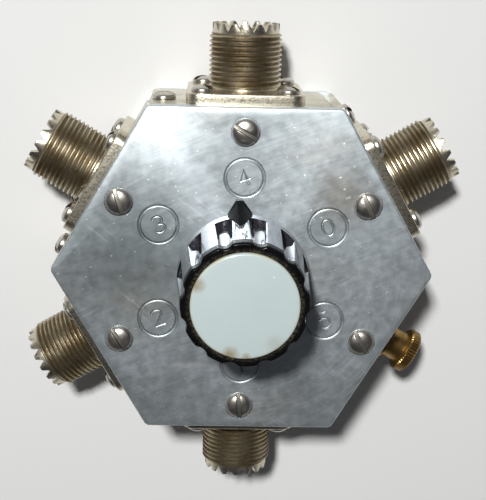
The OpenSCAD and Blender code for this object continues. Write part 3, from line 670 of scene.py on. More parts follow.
class FinishWiring(Wiring):
    """Wiring of one material, which knows the shared effects and its shader."""

    def __init__(self, material: bpy.types.Material, effects: Effects) -> None:
        """Keep the material's tree and shader, and the effects.

        Args:
            material: The material, with its one shader in it.
            effects: The shared shader groups.
        """
        super().__init__(material.node_tree)
        self.shader = material.node_tree.nodes["Principled BSDF"]
        self.effects = effects

    def mottled(self, place: Socket, scale: float, low: float, high: float) -> Socket:
        """Clouds of a scale, from the part of the noise between two values."""
        return self.effect(self.effects.mottle, Vector=place, Scale=scale, Low=low, High=high)

    def scratched(self, place: Socket, turn: Triple, length: float, scale: float,
                  patch: float) -> Socket:
        """Scratches along a turned direction, in patches."""
        return self.effect(self.effects.scratches, Vector=place, Turn=turn, Size=(length, 1, 1),
                           Scale=scale, Patch=patch)

    def streaked(self, place: Socket, turn: Triple, size: Triple, scale: float) -> Socket:
        """Streaks along a turned direction."""
        return self.effect(self.effects.streaks, Vector=place, Turn=turn, Size=size, Scale=scale)

    def drive(self, colour: Socket, rough: Socket, normal: Socket) -> None:
        """Link the shader's colour, roughness and normal."""
        for key, value in (("Base Color", colour), ("Roughness", rough), ("Normal", normal)):
            self.feed(self.shader, key, value)


def rgb(red: float, green: float, blue: float) -> Colour:
    """Colour of a shader socket, from the three values that a picture shows, 0 to 255.

    Args:
        red: Red value.
        green: Green value.
        blue: Blue value.

    Returns:
        The colour, as a shader takes it.
    """
    def linear(value: float) -> float:
        """One value of the colour, with the screen's curve taken off."""
        share = value / 255
        return share / 12.92 if share <= 0.04045 else ((share + 0.055) / 1.055) ** 2.4
    return (linear(red), linear(green), linear(blue), 1.0)


@dataclass(frozen=True)
class Finish:
    """A finish that pieces share: its name and the constants of its shader."""

    name: str
    metallic: float = 1.0
    roughness: float = 0.35

    def start(self, effects: Effects,
              **constants: Any) -> tuple[bpy.types.Material, FinishWiring, Socket]:
        """Begin the material with its one shader.

        Args:
            effects: The shared shader groups.
            constants: Values set on the shader's sockets, with _ for a space.

        Returns:
            The material, its wiring and its object coordinates.
        """
        material = bpy.data.materials.new(self.name)
        material.use_nodes = True
        wiring = FinishWiring(material, effects)
        values = {"Metallic": self.metallic, "Roughness": self.roughness, **constants}
        for key, value in values.items():
            wiring.shader.inputs[key.replace("_", " ")].default_value = value
        return material, wiring, wiring.place()

    def build(self, effects: Effects) -> bpy.types.Material:
        """Make the material.

        Args:
            effects: The shared shader groups.

        Returns:
            The material.
        """
        raise NotImplementedError


@dataclass(frozen=True)
class BrushedAluminium(Finish):
    """Brushed plate, scratched and stained by years of handling."""

    dark: Colour = rgb(180, 190, 193)
    pale: Colour = rgb(228, 236, 239)
    # Darker colour of the patch on the left middle: partly dull metal, partly painted shade.
    dull_and_shade: Colour = rgb(132, 141, 142)
    stain: Colour = rgb(172, 158, 138)
    grime: Colour = rgb(112, 110, 106)
    bare: Colour = rgb(250, 252, 253)
    line_share: float = 0.6
    cloud_share: float = 0.14
    blotch_share: float = 0.18
    dull_and_shade_share: float = 0.75
    stain_share: float = 0.35
    worn_share: float = 0.5
    scratch_share: float = 0.3
    mark_share: float = 0.75
    grime_share: float = 0.35
    brush_turn: float = 21.0
    swept_from: float = 14.0
    swept_to: float = 26.0
    swept_share: float = 0.85
    across_turn: float = -38.0
    along_turn: float = 31.0
    nick_turn: float = 24.0
    face_z: float = 31.0
    rings_r: float = 26.2
    worn_at: Flat = (21.0, 17.5)
    worn_r: float = 8.0
    polished_at: Flat = (-11.4, -21.2)
    polished_r: float = 1.0
    polished_l: float = 6.5
    dull_and_shade_at: Flat = (-24.0, 2.0)
    dull_and_shade_r: float = 24.0

    def build(self, effects: Effects) -> bpy.types.Material:
        """Brush lines, crossing scratches, clouds, stains, nicks, grime in what is stamped and a
        patch that is partly dullness, partly painted shade.

        Args:
            effects: The shared shader groups.

        Returns:
            The material.
        """
        material, w, place = self.start(effects)
        lines = self._lines(w, place)
        worn = w.spot(place, self.worn_at, self.worn_r)
        marks = w.plus(self._marks(w, place, worn), self._polished(w, place, lines), clamp=True)
        clouds = w.mottled(place, 75.0, 0.35, 0.68)
        blotches = w.mottled(place, 420.0, 0.35, 0.7)
        stains = w.mottled(place, 42.0, 0.52, 0.72)
        tone = w.weighted((lines, self.line_share), (clouds, self.cloud_share),
                          (blotches, self.blotch_share), clamp=True)
        # Painted shade, partly dullness: the left middle of the plate is darker and duller.
        dull_and_shade_mask = w.times(w.spot(place, self.dull_and_shade_at, self.dull_and_shade_r), self.dull_and_shade_share)
        brown = w.weighted((stains, self.stain_share), (worn, self.worn_share), clamp=True)
        colour = w.mixed(tone, self.dark, self.pale)
        colour = w.mixed(dull_and_shade_mask, colour, self.dull_and_shade)
        colour = w.mixed(brown, colour, self.stain)
        colour = w.mixed(w.times(marks, self.mark_share), colour, self.bare)
        colour = w.mixed(w.times(self._sunk(w, place), self.grime_share), colour, self.grime)
        rough = w.plus(w.weighted((clouds, 0.03), (blotches, 0.08)), self.roughness)
        w.drive(colour, rough, w.bump(w.minus(lines, marks), 0.007, 0.7))
        return material

    def _lines(self, w: FinishWiring, place: Socket) -> Socket:
        """Brush lines that rise to the right, and sweep round the centre at the lower right.

        Args:
            w: Wiring of the material.
            place: Object coordinates.

        Returns:
            Height of the lines, 0 to 1.
        """
        along = (0, 0, math.radians(self.brush_turn))
        fine = w.streaked(place, along, (14, 1, 1), 2600.0)
        broad = w.streaked(place, along, (9, 1, 1), 700.0)
        straight = w.weighted((fine, 0.6), (broad, 0.4))
        swept = w.effect(w.effects.arcs, Vector=place, Scale=2300.0, Length=0.0014)
        parts = w.parts(place)
        aside = w.minus(w.times(parts[0], 0.6), w.times(parts[1], 0.8))
        share = w.ranged(aside, self.swept_from * MM, self.swept_to * MM, 0.0, self.swept_share)
        return w.plus(w.times(straight, w.minus(1.0, share)), w.times(swept, share))

    def _polished(self, w: FinishWiring, place: Socket, lines: Socket) -> Socket:
        """Bright streak that something rubbed into the plate.

        Args:
            w: Wiring of the material.
            place: Object coordinates.
            lines: Height of the brush lines, which break the streak up.

        Returns:
            The mask.
        """
        drawn = w.stretched(place, (0, 0, 0), (self.polished_l, 1, 1))
        centre = (self.polished_at[0] / self.polished_l, self.polished_at[1])
        return w.times(w.spot(drawn, centre, self.polished_r), w.ranged(lines, 0.2, 0.7, 0.5, 1.0))

    def _marks(self, w: FinishWiring, place: Socket, worn: Socket) -> Socket:
        """Crossing scratches and small bright nicks, which crowd in the worn place.

        Args:
            w: Wiring of the material.
            place: Object coordinates.
            worn: Mask of the worn place.

        Returns:
            The mask.
        """
        across = w.scratched(place, (0, 0, math.radians(self.across_turn)), 24, 1500.0, 70.0)
        along = w.scratched(place, (0, 0, math.radians(self.along_turn)), 30, 1100.0, 95.0)
        drawn = w.stretched(place, (0, 0, math.radians(self.nick_turn)), (1.8, 1, 1))
        size = w.ranged(worn, 0.0, 1.0, 0.13, 0.24)
        nicks = w.effect(w.effects.specks, Vector=drawn, Scale=1050.0, Size=size)
        scratches = w.times(w.plus(across, along), self.scratch_share)
        return w.plus(scratches, nicks, clamp=True)

    def _sunk(self, w: FinishWiring, place: Socket) -> Socket:
        """Mask of the stamped grooves in the plate's face.

        Args:
            w: Wiring of the material.
            place: Object coordinates.

        Returns:
            The mask.
        """
        radius, height = w.reach(place)
        depth = w.minus(self.face_z * MM, height)
        deep = w.times(w.ranged(depth, 0.05 * MM, 0.24 * MM), w.ranged(depth, 0.7 * MM, 0.6 * MM))
        return w.times(deep, w.ranged(radius, (self.rings_r + 0.2) * MM, self.rings_r * MM))


@dataclass(frozen=True)
class PlatedSheet(Finish):
    """Nickel on sheet, spring or stamping: cloudy, a little yellow, with fine scratches."""

    tone: Colour = rgb(205, 201, 184)
    tarnish: Colour = rgb(158, 146, 116)
    amount: float = 0.4
    bare: Colour = rgb(238, 238, 230)

    def build(self, effects: Effects) -> bpy.types.Material:
        """Clouds of tarnish under fine scratches.

        Args:
            effects: The shared shader groups.

        Returns:
            The material.
        """
        material, w, place = self.start(effects)
        clouds = w.mottled(place, 190.0, 0.38, 0.7)
        grains = w.mottled(place, 1900.0, 0.35, 0.65)
        lines = w.scratched(place, (0.3, 0.4, 0.9), 18, 1700.0, 130.0)
        mask = w.times(w.weighted((clouds, 0.7), (grains, 0.3)), self.amount)
        colour = w.mixed(w.times(lines, 0.4), w.mixed(mask, self.tone, self.tarnish), self.bare)
        rough = w.plus(w.times(clouds, 0.16), self.roughness)
        w.drive(colour, rough, w.bump(w.minus(w.times(grains, 0.6), lines), 0.01, 0.6))
        return material


@dataclass(frozen=True)
class SocketNickel(Finish):
    """Thin nickel over brass on the threaded sockets, worn on the crests, brown in the roots."""

    crest: Colour = rgb(214, 206, 186)
    grain: Colour = rgb(168, 160, 138)
    brass: Colour = rgb(172, 154, 118)
    root: Colour = rgb(98, 86, 64)
    root_r: float = 7.29
    crest_r: float = 7.94
    thread_from: float = 2.5
    thread_to: float = 14.2

    def build(self, effects: Effects) -> bpy.types.Material:
        """Grime by depth in the thread, brass in patches, grain on the flange.

        Args:
            effects: The shared shader groups.

        Returns:
            The material.
        """
        material, w, place = self.start(effects)
        radius, along = w.reach(w.own_place())
        depth = w.ranged(radius, self.crest_r * MM, self.root_r * MM)
        thread = w.times(w.ranged(along, self.thread_from * MM, (self.thread_from + 0.2) * MM),
                         w.ranged(along, (self.thread_to + 0.1) * MM, (self.thread_to - 0.1) * MM),
                         w.ranged(radius, (self.root_r - 0.5) * MM, (self.root_r - 0.4) * MM))
        clouds = w.mottled(place, 230.0, 0.36, 0.66)
        grains = w.mottled(place, 2300.0, 0.3, 0.68)
        worn = w.times(w.plus(w.times(clouds, 0.75), 0.2), thread)
        grime = w.times(w.maths("POWER", depth, 0.8), thread, clamp=True)
        grime = w.times(grime, w.ranged(clouds, 0.0, 1.0, 0.55, 0.95))
        colour = w.mixed(w.times(grains, 0.3), self.crest, self.grain)
        colour = w.mixed(grime, w.mixed(worn, colour, self.brass), self.root)
        rough = w.plus(w.weighted((grime, 0.3), (grains, 0.12)), self.roughness)
        w.drive(colour, rough, w.bump(grains, 0.02, 0.7))
        return material


@dataclass(frozen=True)
class BrightScrew(Finish):
    """Nickel-plated screws and nuts, shiny on the domes, with painted shade in the slots."""

    tone: Colour = rgb(206, 202, 192)
    dirt_and_slot_shade: Colour = rgb(88, 80, 66)
    slot_w: float = 1.02

    def build(self, effects: Effects) -> bpy.types.Material:
        """Clouds of dullness, pits, fine scratches and painted shade as dark lines along the slot's
        walls.

        Args:
            effects: The shared shader groups.

        Returns:
            The material.
        """
        material, w, place = self.start(effects)
        clouds = w.mottled(place, 480.0, 0.38, 0.7)
        pits = w.mottled(place, 2600.0, 0.56, 0.72)
        lines = w.scratched(place, (0, 0.2, 0.7), 12, 2400.0, 300.0)
        own = w.parts(w.own_place())
        aside, half = w.maths("ABSOLUTE", own[1]), self.slot_w / 2
        in_slot = w.times(w.ranged(aside, (half + 0.02) * MM, half * MM),
                          w.ranged(own[2], 0.2 * MM, 0.4 * MM))
        # Painted shade: the slot is darker, most of all along its walls.
        wall = w.times(in_slot, w.ranged(aside, 0.5 * half * MM, 0.95 * half * MM, 0.1, 1.0))
        mask = w.plus(w.weighted((clouds, 0.3), (pits, 0.4), clamp=True), wall, clamp=True)
        rough = w.plus(w.times(mask, 0.3), self.roughness)
        normal = w.bump(w.minus(w.times(pits, -0.6), lines), 0.015, 0.6)
        # The darker colour serves both real dull clouds and pits and the painted shade in the slot.
        w.drive(w.mixed(mask, self.tone, self.dirt_and_slot_shade), rough, normal)
        return material


@dataclass(frozen=True)
class DullMetal(Finish):
    """Bare brass, copper, silver or steel that has darkened unevenly."""

    tone: Colour = rgb(190, 152, 84)
    dark: Colour = rgb(112, 82, 40)
    amount: float = 0.55
    bare: Colour = rgb(235, 215, 170)

    def build(self, effects: Effects) -> bpy.types.Material:
        """Clouds of tarnish, fine grain and lathe lines.

        Args:
            effects: The shared shader groups.

        Returns:
            The material.
        """
        material, w, place = self.start(effects)
        clouds = w.mottled(place, 420.0, 0.34, 0.7)
        grains = w.mottled(place, 2700.0, 0.34, 0.66)
        lines = w.scratched(place, (0.2, 0.6, 0.3), 14, 2200.0, 260.0)
        mask = w.times(w.weighted((clouds, 0.75), (grains, 0.25)), self.amount)
        colour = w.mixed(w.times(lines, 0.3), w.mixed(mask, self.tone, self.dark), self.bare)
        rough = w.plus(w.times(mask, 0.3), self.roughness)
        w.drive(colour, rough, w.bump(w.minus(grains, lines), 0.012, 0.6))
        return material


@dataclass(frozen=True)
class KnobChrome(Finish):
    """Mirror-bright plating of the knob's band, hazed and stained in places."""

    tone: Colour = rgb(160, 160, 168)
    haze: Colour = rgb(116, 106, 94)

    def build(self, effects: Effects) -> bpy.types.Material:
        """Haze in clouds, thin scratches and specks of grime.

        Args:
            effects: The shared shader groups.

        Returns:
            The material.
        """
        material, w, place = self.start(effects)
        clouds = w.mottled(place, 210.0, 0.5, 0.74)
        specks = w.effect(effects.specks, Vector=place, Scale=900.0, Size=0.2)
        lines = w.scratched(place, (0.1, 0.1, 1.2), 16, 1500.0, 220.0)
        mask = w.weighted((clouds, 0.4), (specks, 0.5), clamp=True)
        rough = w.plus(w.weighted((clouds, 0.22), (lines, 0.2)), self.roughness)
        normal = w.bump(w.minus(clouds, lines), 0.004, 0.5)
        w.drive(w.mixed(mask, self.tone, self.haze), rough, normal)
        return material


@dataclass(frozen=True)
class BlackMoulding(Finish):
    """Glossy black moulding with brown grime that settled against the cap."""

    tone: Colour = rgb(9, 10, 13)
    grime: Colour = rgb(96, 88, 72)
    cap_r: float = 10.85
    cap_z: float = 53.8

    def build(self, effects: Effects) -> bpy.types.Material:
        """Grime near the cap, dust and patches of dullness.

        Args:
            effects: The shared shader groups.

        Returns:
            The material.
        """
        material, w, place = self.start(effects, Specular_IOR_Level=0.1)
        radius, height = w.reach(place)
        near_cap = w.ranged(radius, (self.cap_r + 1.0) * MM, (self.cap_r + 0.3) * MM)
        high = w.ranged(height, (self.cap_z - 0.3) * MM, self.cap_z * MM)
        clouds = w.mottled(place, 650.0, 0.38, 0.66)
        dust = w.mottled(place, 2300.0, 0.45, 0.7)
        patchy = w.times(w.ranged(clouds, 0, 1, 0.4, 1.0), w.ranged(dust, 0, 1, 0.1, 1.0))
        mask = w.plus(w.times(w.times(near_cap, high), patchy), w.times(dust, 0.05), clamp=True)
        rough = w.plus(w.weighted((mask, 0.5), (clouds, 0.12)), self.roughness)
        normal = w.bump(w.plus(mask, clouds), 0.02, 0.4)
        w.drive(w.mixed(mask, self.tone, self.grime), rough, normal)
        return material


@dataclass(frozen=True)
class PaleCap(Finish):
    """Pale plastic of the knob's cap, with brown stains along its edge."""

    tone: Colour = rgb(188, 202, 200)
    cloud: Colour = rgb(180, 193, 193)
    edge: Colour = rgb(186, 180, 142)
    stain: Colour = rgb(138, 116, 72)
    chip: Colour = rgb(244, 240, 226)
    edge_r: float = 10.85
    stains: tuple[tuple[float, float, float, float], ...] = (
        (-9.46, 4.36, 2.0, 0.8), (-2.76, -9.93, 2.2, 0.85), (0.41, -10.4, 1.2, 0.7),
        (6.04, -7.5, 2.4, 0.25))
    chips: tuple[Triple, ...] = ((-2.5, -10.6, 0.3), (-1.2, -10.75, 0.3), (5.4, 6.23, 0.22))

    def build(self, effects: Effects) -> bpy.types.Material:
        """Faint clouds, a yellowed edge, brown stains and bright chips.

        Args:
            effects: The shared shader groups.

        Returns:
            The material.
        """
        material, w, place = self.start(effects, Coat_Weight=0.25, Coat_Roughness=0.12,
                                        Specular_IOR_Level=0.55)
        radius, _ = w.reach(place)
        clouds = w.mottled(place, 160.0, 0.3, 0.75)
        spots = w.mottled(place, 800.0, 0.3, 0.6)
        rim = w.ranged(radius, (self.edge_r - 0.75) * MM, (self.edge_r - 0.1) * MM)
        yellow = w.times(w.maths("POWER", rim, 2.0), w.ranged(clouds, 0.25, 0.75, 0.1, 0.85))
        colour = w.mixed(w.times(clouds, 0.6), self.tone, self.cloud)
        colour = w.mixed(yellow, colour, self.edge)
        for x, y, size, share in self.stains:
            spot = w.times(w.spot(place, (x, y), size), w.ranged(spots, 0, 1, 0.6 * share, share))
            colour = w.mixed(spot, colour, self.stain)
        for x, y, size in self.chips:
            colour = w.mixed(w.spot(place, (x, y), size), colour, self.chip)
        rough = w.plus(w.weighted((clouds, 0.1), (yellow, 0.2)), self.roughness)
        w.drive(colour, rough, w.bump(w.plus(clouds, spots), 0.006, 0.3))
        return material


@dataclass(frozen=True)
class BrownInsulator(Finish):
    """Brown moulded or laminated insulator with a faint grain."""

    tone: Colour = rgb(112, 66, 36)
    dark: Colour = rgb(62, 34, 20)
    grain: Triple = (6, 1, 1)

    def build(self, effects: Effects) -> bpy.types.Material:
        """Grain of the filler, with duller patches.

        Args:
            effects: The shared shader groups.

        Returns:
            The material.
        """
        material, w, place = self.start(effects, Specular_IOR_Level=0.5)
        fibres = w.streaked(place, (0, 0, 0.5), self.grain, 1300.0)
        clouds = w.mottled(place, 420.0, 0.35, 0.7)
        mask = w.weighted((fibres, 0.45), (clouds, 0.4))
        rough = w.plus(w.times(clouds, 0.2), self.roughness)
        w.drive(w.mixed(mask, self.tone, self.dark), rough, w.bump(fibres, 0.015, 0.5))
        return material


SLOT_FINISHES: dict[str, Finish] = {
    "face_plate": BrushedAluminium("brushed_aluminium", 0.9, 0.39),
    "back_plate": BrushedAluminium("back_aluminium", 0.9, 0.42),
    "wall_sheet": PlatedSheet("nickel_sheet", roughness=0.26),
    "bright_screws": BrightScrew("bright_screws", roughness=0.29),
    "socket_nickel": SocketNickel("socket_nickel", roughness=0.24),
    "insulator_brown": BrownInsulator("insulator_brown", 0.0, 0.45),
    "contact_silver": DullMetal(
        "contact_silver", 1.0, 0.28, rgb(206, 198, 178), rgb(120, 104, 76), 0.5),
    "terminal_brass": DullMetal(
        "terminal_brass", 1.0, 0.27, rgb(182, 150, 92), rgb(98, 74, 42), 0.75),
    "knob_black": BlackMoulding("black_moulding", 0.0, 0.16),
    "knob_chrome": KnobChrome("knob_chrome", 1.0, 0.05),
    "knob_cap_grey": PaleCap("pale_cap", 0.0, 0.3),
    "turned_brass": DullMetal(
        "turned_brass", 1.0, 0.3, rgb(206, 168, 96), rgb(130, 96, 48), 0.4),
    "dark_steel": DullMetal("dark_steel", 1.0, 0.35, rgb(98, 98, 100), rgb(52, 48, 44), 0.5),
    "shaft_steel": PlatedSheet(
        "shaft_steel", 1.0, 0.25, rgb(186, 186, 184), rgb(134, 130, 120), 0.3),
    "wafer_phenolic": BrownInsulator(
        "wafer_phenolic", 0.0, 0.5, rgb(168, 116, 66), rgb(118, 76, 40), (10, 1, 1)),
    "contact_strip": DullMetal(
        "contact_strip", 1.0, 0.26, rgb(212, 186, 128), rgb(150, 118, 66), 0.35),
    "wire_copper": DullMetal("wire_copper", 1.0, 0.3, rgb(208, 190, 160), rgb(150, 110, 76), 0.4),
}


class Dresser:
    """Gives every piece its body, its slot and its finish."""

    def __init__(self) -> None:
        """Build the shared effects and every finish."""
        effects = Effects()
        self.materials = {slot: finish.build(effects) for slot, finish in SLOT_FINISHES.items()}

    def piece(self, obj: Object, body: str, slot: str, *nodes: str) -> None:
        """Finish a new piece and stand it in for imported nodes.

        Args:
            obj: The piece.
            body: Body that it rides on.
            slot: Material slot of the record.
            nodes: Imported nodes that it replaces.
        """
        obj.data.materials.clear()
        obj.data.materials.append(self.materials[slot])
        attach(obj, body)
        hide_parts(*nodes)
        faces = len(obj.data.polygons)
        LOG.info("%s rides on %s, finish %s, %d faces", obj.name, body, slot, faces)

    def packed(self) -> None:
        """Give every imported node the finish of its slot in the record."""
        for entry in frame["record"]["subparts"]:
            for slot in frame["nodes"][entry["node"]].material_slots:
                slot.material = self.materials[entry["material_slot"]]


# ---------------------------------------------------------------- sub-assemblies


@dataclass(frozen=True)
class FrontPlate:
    """Brushed front plate with six stamped rings, each round a plain numeral."""

    layout: Layout
    corner_bevel: float = 0.8
    edge_bevel: float = 0.4
    under_bevel: float = 0.15
    screw_in: float = 5.2
    screw_hole_r: float = 1.62
    spot_r: float = 2.98
    spot_depth: float = 0.3
    spot_edge: float = 0.16
    bushing_hole_r: float = 4.96
    ring_circle_r: float = 20.9
    ring_mid_r: float = 4.1
    groove_tube_r: float = 0.5
    groove_depth: float = 0.28
    numeral_h: float = 3.6
    numeral_w: float = 2.3
    numeral_tube_r: float = 0.36
    numeral_depth: float = 0.28
    numeral_turn: float = 22.0
    numerals: str = "432150"

    def build(self, dresser: Dresser) -> None:
        """Model the plate and dress it.

        Args:
            dresser: Gives the plate its finish.
        """
        plate = self._blank()
        tools = [self._screw_cutter(side) for side in range(SIDES)]
        tools += [self._ring_cutter(side) for side in range(SIDES)]
        levels = (self.layout.plate_z - OVER, self.layout.face_z + OVER)
        tools.append(turned("bushing_cutter", [(self.bushing_hole_r, level) for level in levels]))
        cut(plate, joined("plate_cutters", tools))
        strokes = [stroke for side in range(SIDES) for stroke in self._numeral(side)]
        cut(plate, joined("numeral_cutters", strokes), crossing=True)
        smooth(plate, 30)
        dresser.piece(plate, "housing", "face_plate", "front_plate")

    def _blank(self) -> Object:
        """Six-sided plate with eased corners and edges.

        Returns:
            The plate, without its holes.
        """
        low, high = self.layout.plate_z, self.layout.face_z
        corner_r = self.layout.flat_r / math.cos(STEP / 2)
        take()
        bpy.ops.mesh.primitive_cylinder_add(
            vertices=SIDES, radius=corner_r * MM, depth=(high - low) * MM,
            location=(0, 0, (low + high) / 2 * MM), rotation=(0, 0, STEP / 2))
        plate = settled("front_plate_brushed")
        with editing(plate):
            pick(Kind.EDGE, lambda edge: abs(edge.verts[0].co.z - edge.verts[1].co.z) > MM)
            bevel_picked(self.corner_bevel, 4)
            pick(Kind.EDGE, above(high * MM - HAIR))
            bevel_picked(self.edge_bevel, 3)
            foot = low * MM + HAIR
            pick(Kind.EDGE, lambda edge: max(vert.co.z for vert in edge.verts) < foot)
            bevel_picked(self.under_bevel, 1)
        return plate

    def _screw_cutter(self, side: int) -> Object:
        """Stepped cutter of one screw hole and its spot face, which opens out at the top.

        Args:
            side: Number of the side that it belongs to.

        Returns:
            The cutter, in its place.
        """
        top = self.layout.face_z
        seat = top - self.spot_depth
        skim = 0.01
        mouth_r = self.spot_r + self.spot_edge
        profile = [(self.screw_hole_r, self.layout.plate_z - OVER), (self.screw_hole_r, seat),
                   (self.spot_r, seat), (mouth_r, top + skim), (mouth_r, top + OVER)]
        cutter = turned("screw_cutter", profile, steps=48)
        place = spun(STEP * side) @ moved(0, self.layout.flat_r - self.screw_in, 0)
        return placed(cutter, place, keep=False)

    def _ring_cutter(self, side: int) -> Object:
        """Round-bottomed cutter of one ring.

        Args:
            side: Number of the side that it belongs to.

        Returns:
            The cutter, in its place.
        """
        take()
        bpy.ops.mesh.primitive_torus_add(
            major_radius=self.ring_mid_r * MM, minor_radius=self.groove_tube_r * MM,
            major_segments=72, minor_segments=20)
        ring = settled("ring_cutter")
        height = self.layout.face_z + self.groove_tube_r - self.groove_depth
        return placed(ring, spun(STEP * side) @ moved(0, self.ring_circle_r, height), keep=False)

    def _strokes(self, numeral: str) -> list[list[Flat]]:
        """Strokes of a plain numeral, centred on the origin.

        Args:
            numeral: One figure.

        Returns:
            The points of each stroke.
        """
        tall, wide = self.numeral_h / 2, self.numeral_w / 2
        bowl = tall / 2
        shapes = {
            "0": [arc((0, 0), (wide, tall), 90, 450, 28)],
            "1": [[(-0.6 * wide, 0.62 * tall), (0, tall), (0, -tall)]],
            "2": [arc((0, bowl), (wide, bowl), 165, -38, 14) + [(-wide, -tall), (wide, -tall)]],
            "3": [arc((0, bowl), (0.9 * wide, bowl), 150, -90, 14),
                  arc((0, -bowl), (wide, bowl), 90, -150, 14)],
            "4": [[(0.35 * wide, -tall), (0.35 * wide, tall),
                   (-wide, -0.3 * tall), (wide, -0.3 * tall)]],
            "5": [[(0.8 * wide, tall), (-0.7 * wide, tall), (-0.8 * wide, 0.1 * tall)]
                  + arc((0, -0.36 * tall), (wide, 0.64 * tall), 130, -150, 16)],
        }
        return shapes[numeral]

    def _numeral(self, side: int) -> list[Object]:
        """Round-bottomed cutters of the numeral inside one ring.

        Args:
            side: Number of the side that it belongs to.

        Returns:
            One cutter for each stroke, in its place.
        """
        tubes = []
        for stroke in self._strokes(self.numerals[side]):
            curve = bpy.data.curves.new("stroke", "CURVE")
            curve.dimensions = "3D"
            curve.bevel_depth = self.numeral_tube_r * MM
            curve.bevel_resolution = 4
            curve.use_fill_caps = True
            spline = curve.splines.new("POLY")
            ring_like = math.dist(stroke[0], stroke[-1]) < HAIR
            points = stroke[:-1] if ring_like else stroke
            spline.points.add(len(points) - 1)
            for point, (x, y) in zip(spline.points, points):
                point.co = (x * MM, y * MM, 0, 1)
            spline.use_cyclic_u = ring_like
            tube = bpy.data.objects.new("stroke", curve)
            bpy.context.collection.objects.link(tube)
            take(tube)
            bpy.ops.object.convert(target="MESH")
            height = self.layout.face_z + self.numeral_tube_r - self.numeral_depth
            centre = spun(STEP * side) @ Vector((0, self.ring_circle_r * MM, height * MM))
            turn = spun(math.radians(self.numeral_turn))
            tubes.append(placed(bpy.context.object, Matrix.Translation(centre) @ turn, keep=False))
        return tubes


@dataclass(frozen=True)
class Sheets:
    """Walls, back cover, nuts and washers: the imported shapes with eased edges."""

    wall_edge: float = 0.14
    cover_edge: float = 0.18
    small_edge: float = 0.08

    def build(self, dresser: Dresser) -> None:
        """Ease the edges of each piece and dress it.

        Args:
            dresser: Gives the pieces their finish.
        """
        for name in SIDE_NAMES:
            self._eased(dresser, f"wall_{name}", self.wall_edge, "housing", "wall_sheet")
        self._eased(dresser, "back_cover", self.cover_edge, "housing", "back_plate")
        for name in ("ground_lock_washer", "ground_hex_nut", "bushing_nut"):
            self._eased(dresser, name, self.small_edge, "housing", "bright_screws")
        self._eased(dresser, "ground_washer", self.small_edge, "ground_washer", "terminal_brass")

    @staticmethod
    def _eased(dresser: Dresser, node: str, width: float, body: str, slot: str) -> None:
        """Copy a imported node, merge its triangles into faces and round its edges.

        Args:
            dresser: Gives the piece its finish.
            node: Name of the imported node.
            width: Width of the rounding.
            body: Body that the piece rides on.
            slot: Its material slot.
        """
        piece = bpy.data.objects.new(f"{node}_eased", frame["nodes"][node].data.copy())
        bpy.context.collection.objects.link(piece)
        with editing(piece):
            bpy.ops.mesh.select_all(action="SELECT")
            bpy.ops.mesh.remove_doubles(threshold=HAIR)
            bpy.ops.mesh.dissolve_limited(angle_limit=math.radians(1))
        ease_edges(piece, width)
        smooth(piece)
        dresser.piece(piece, body, slot, node)


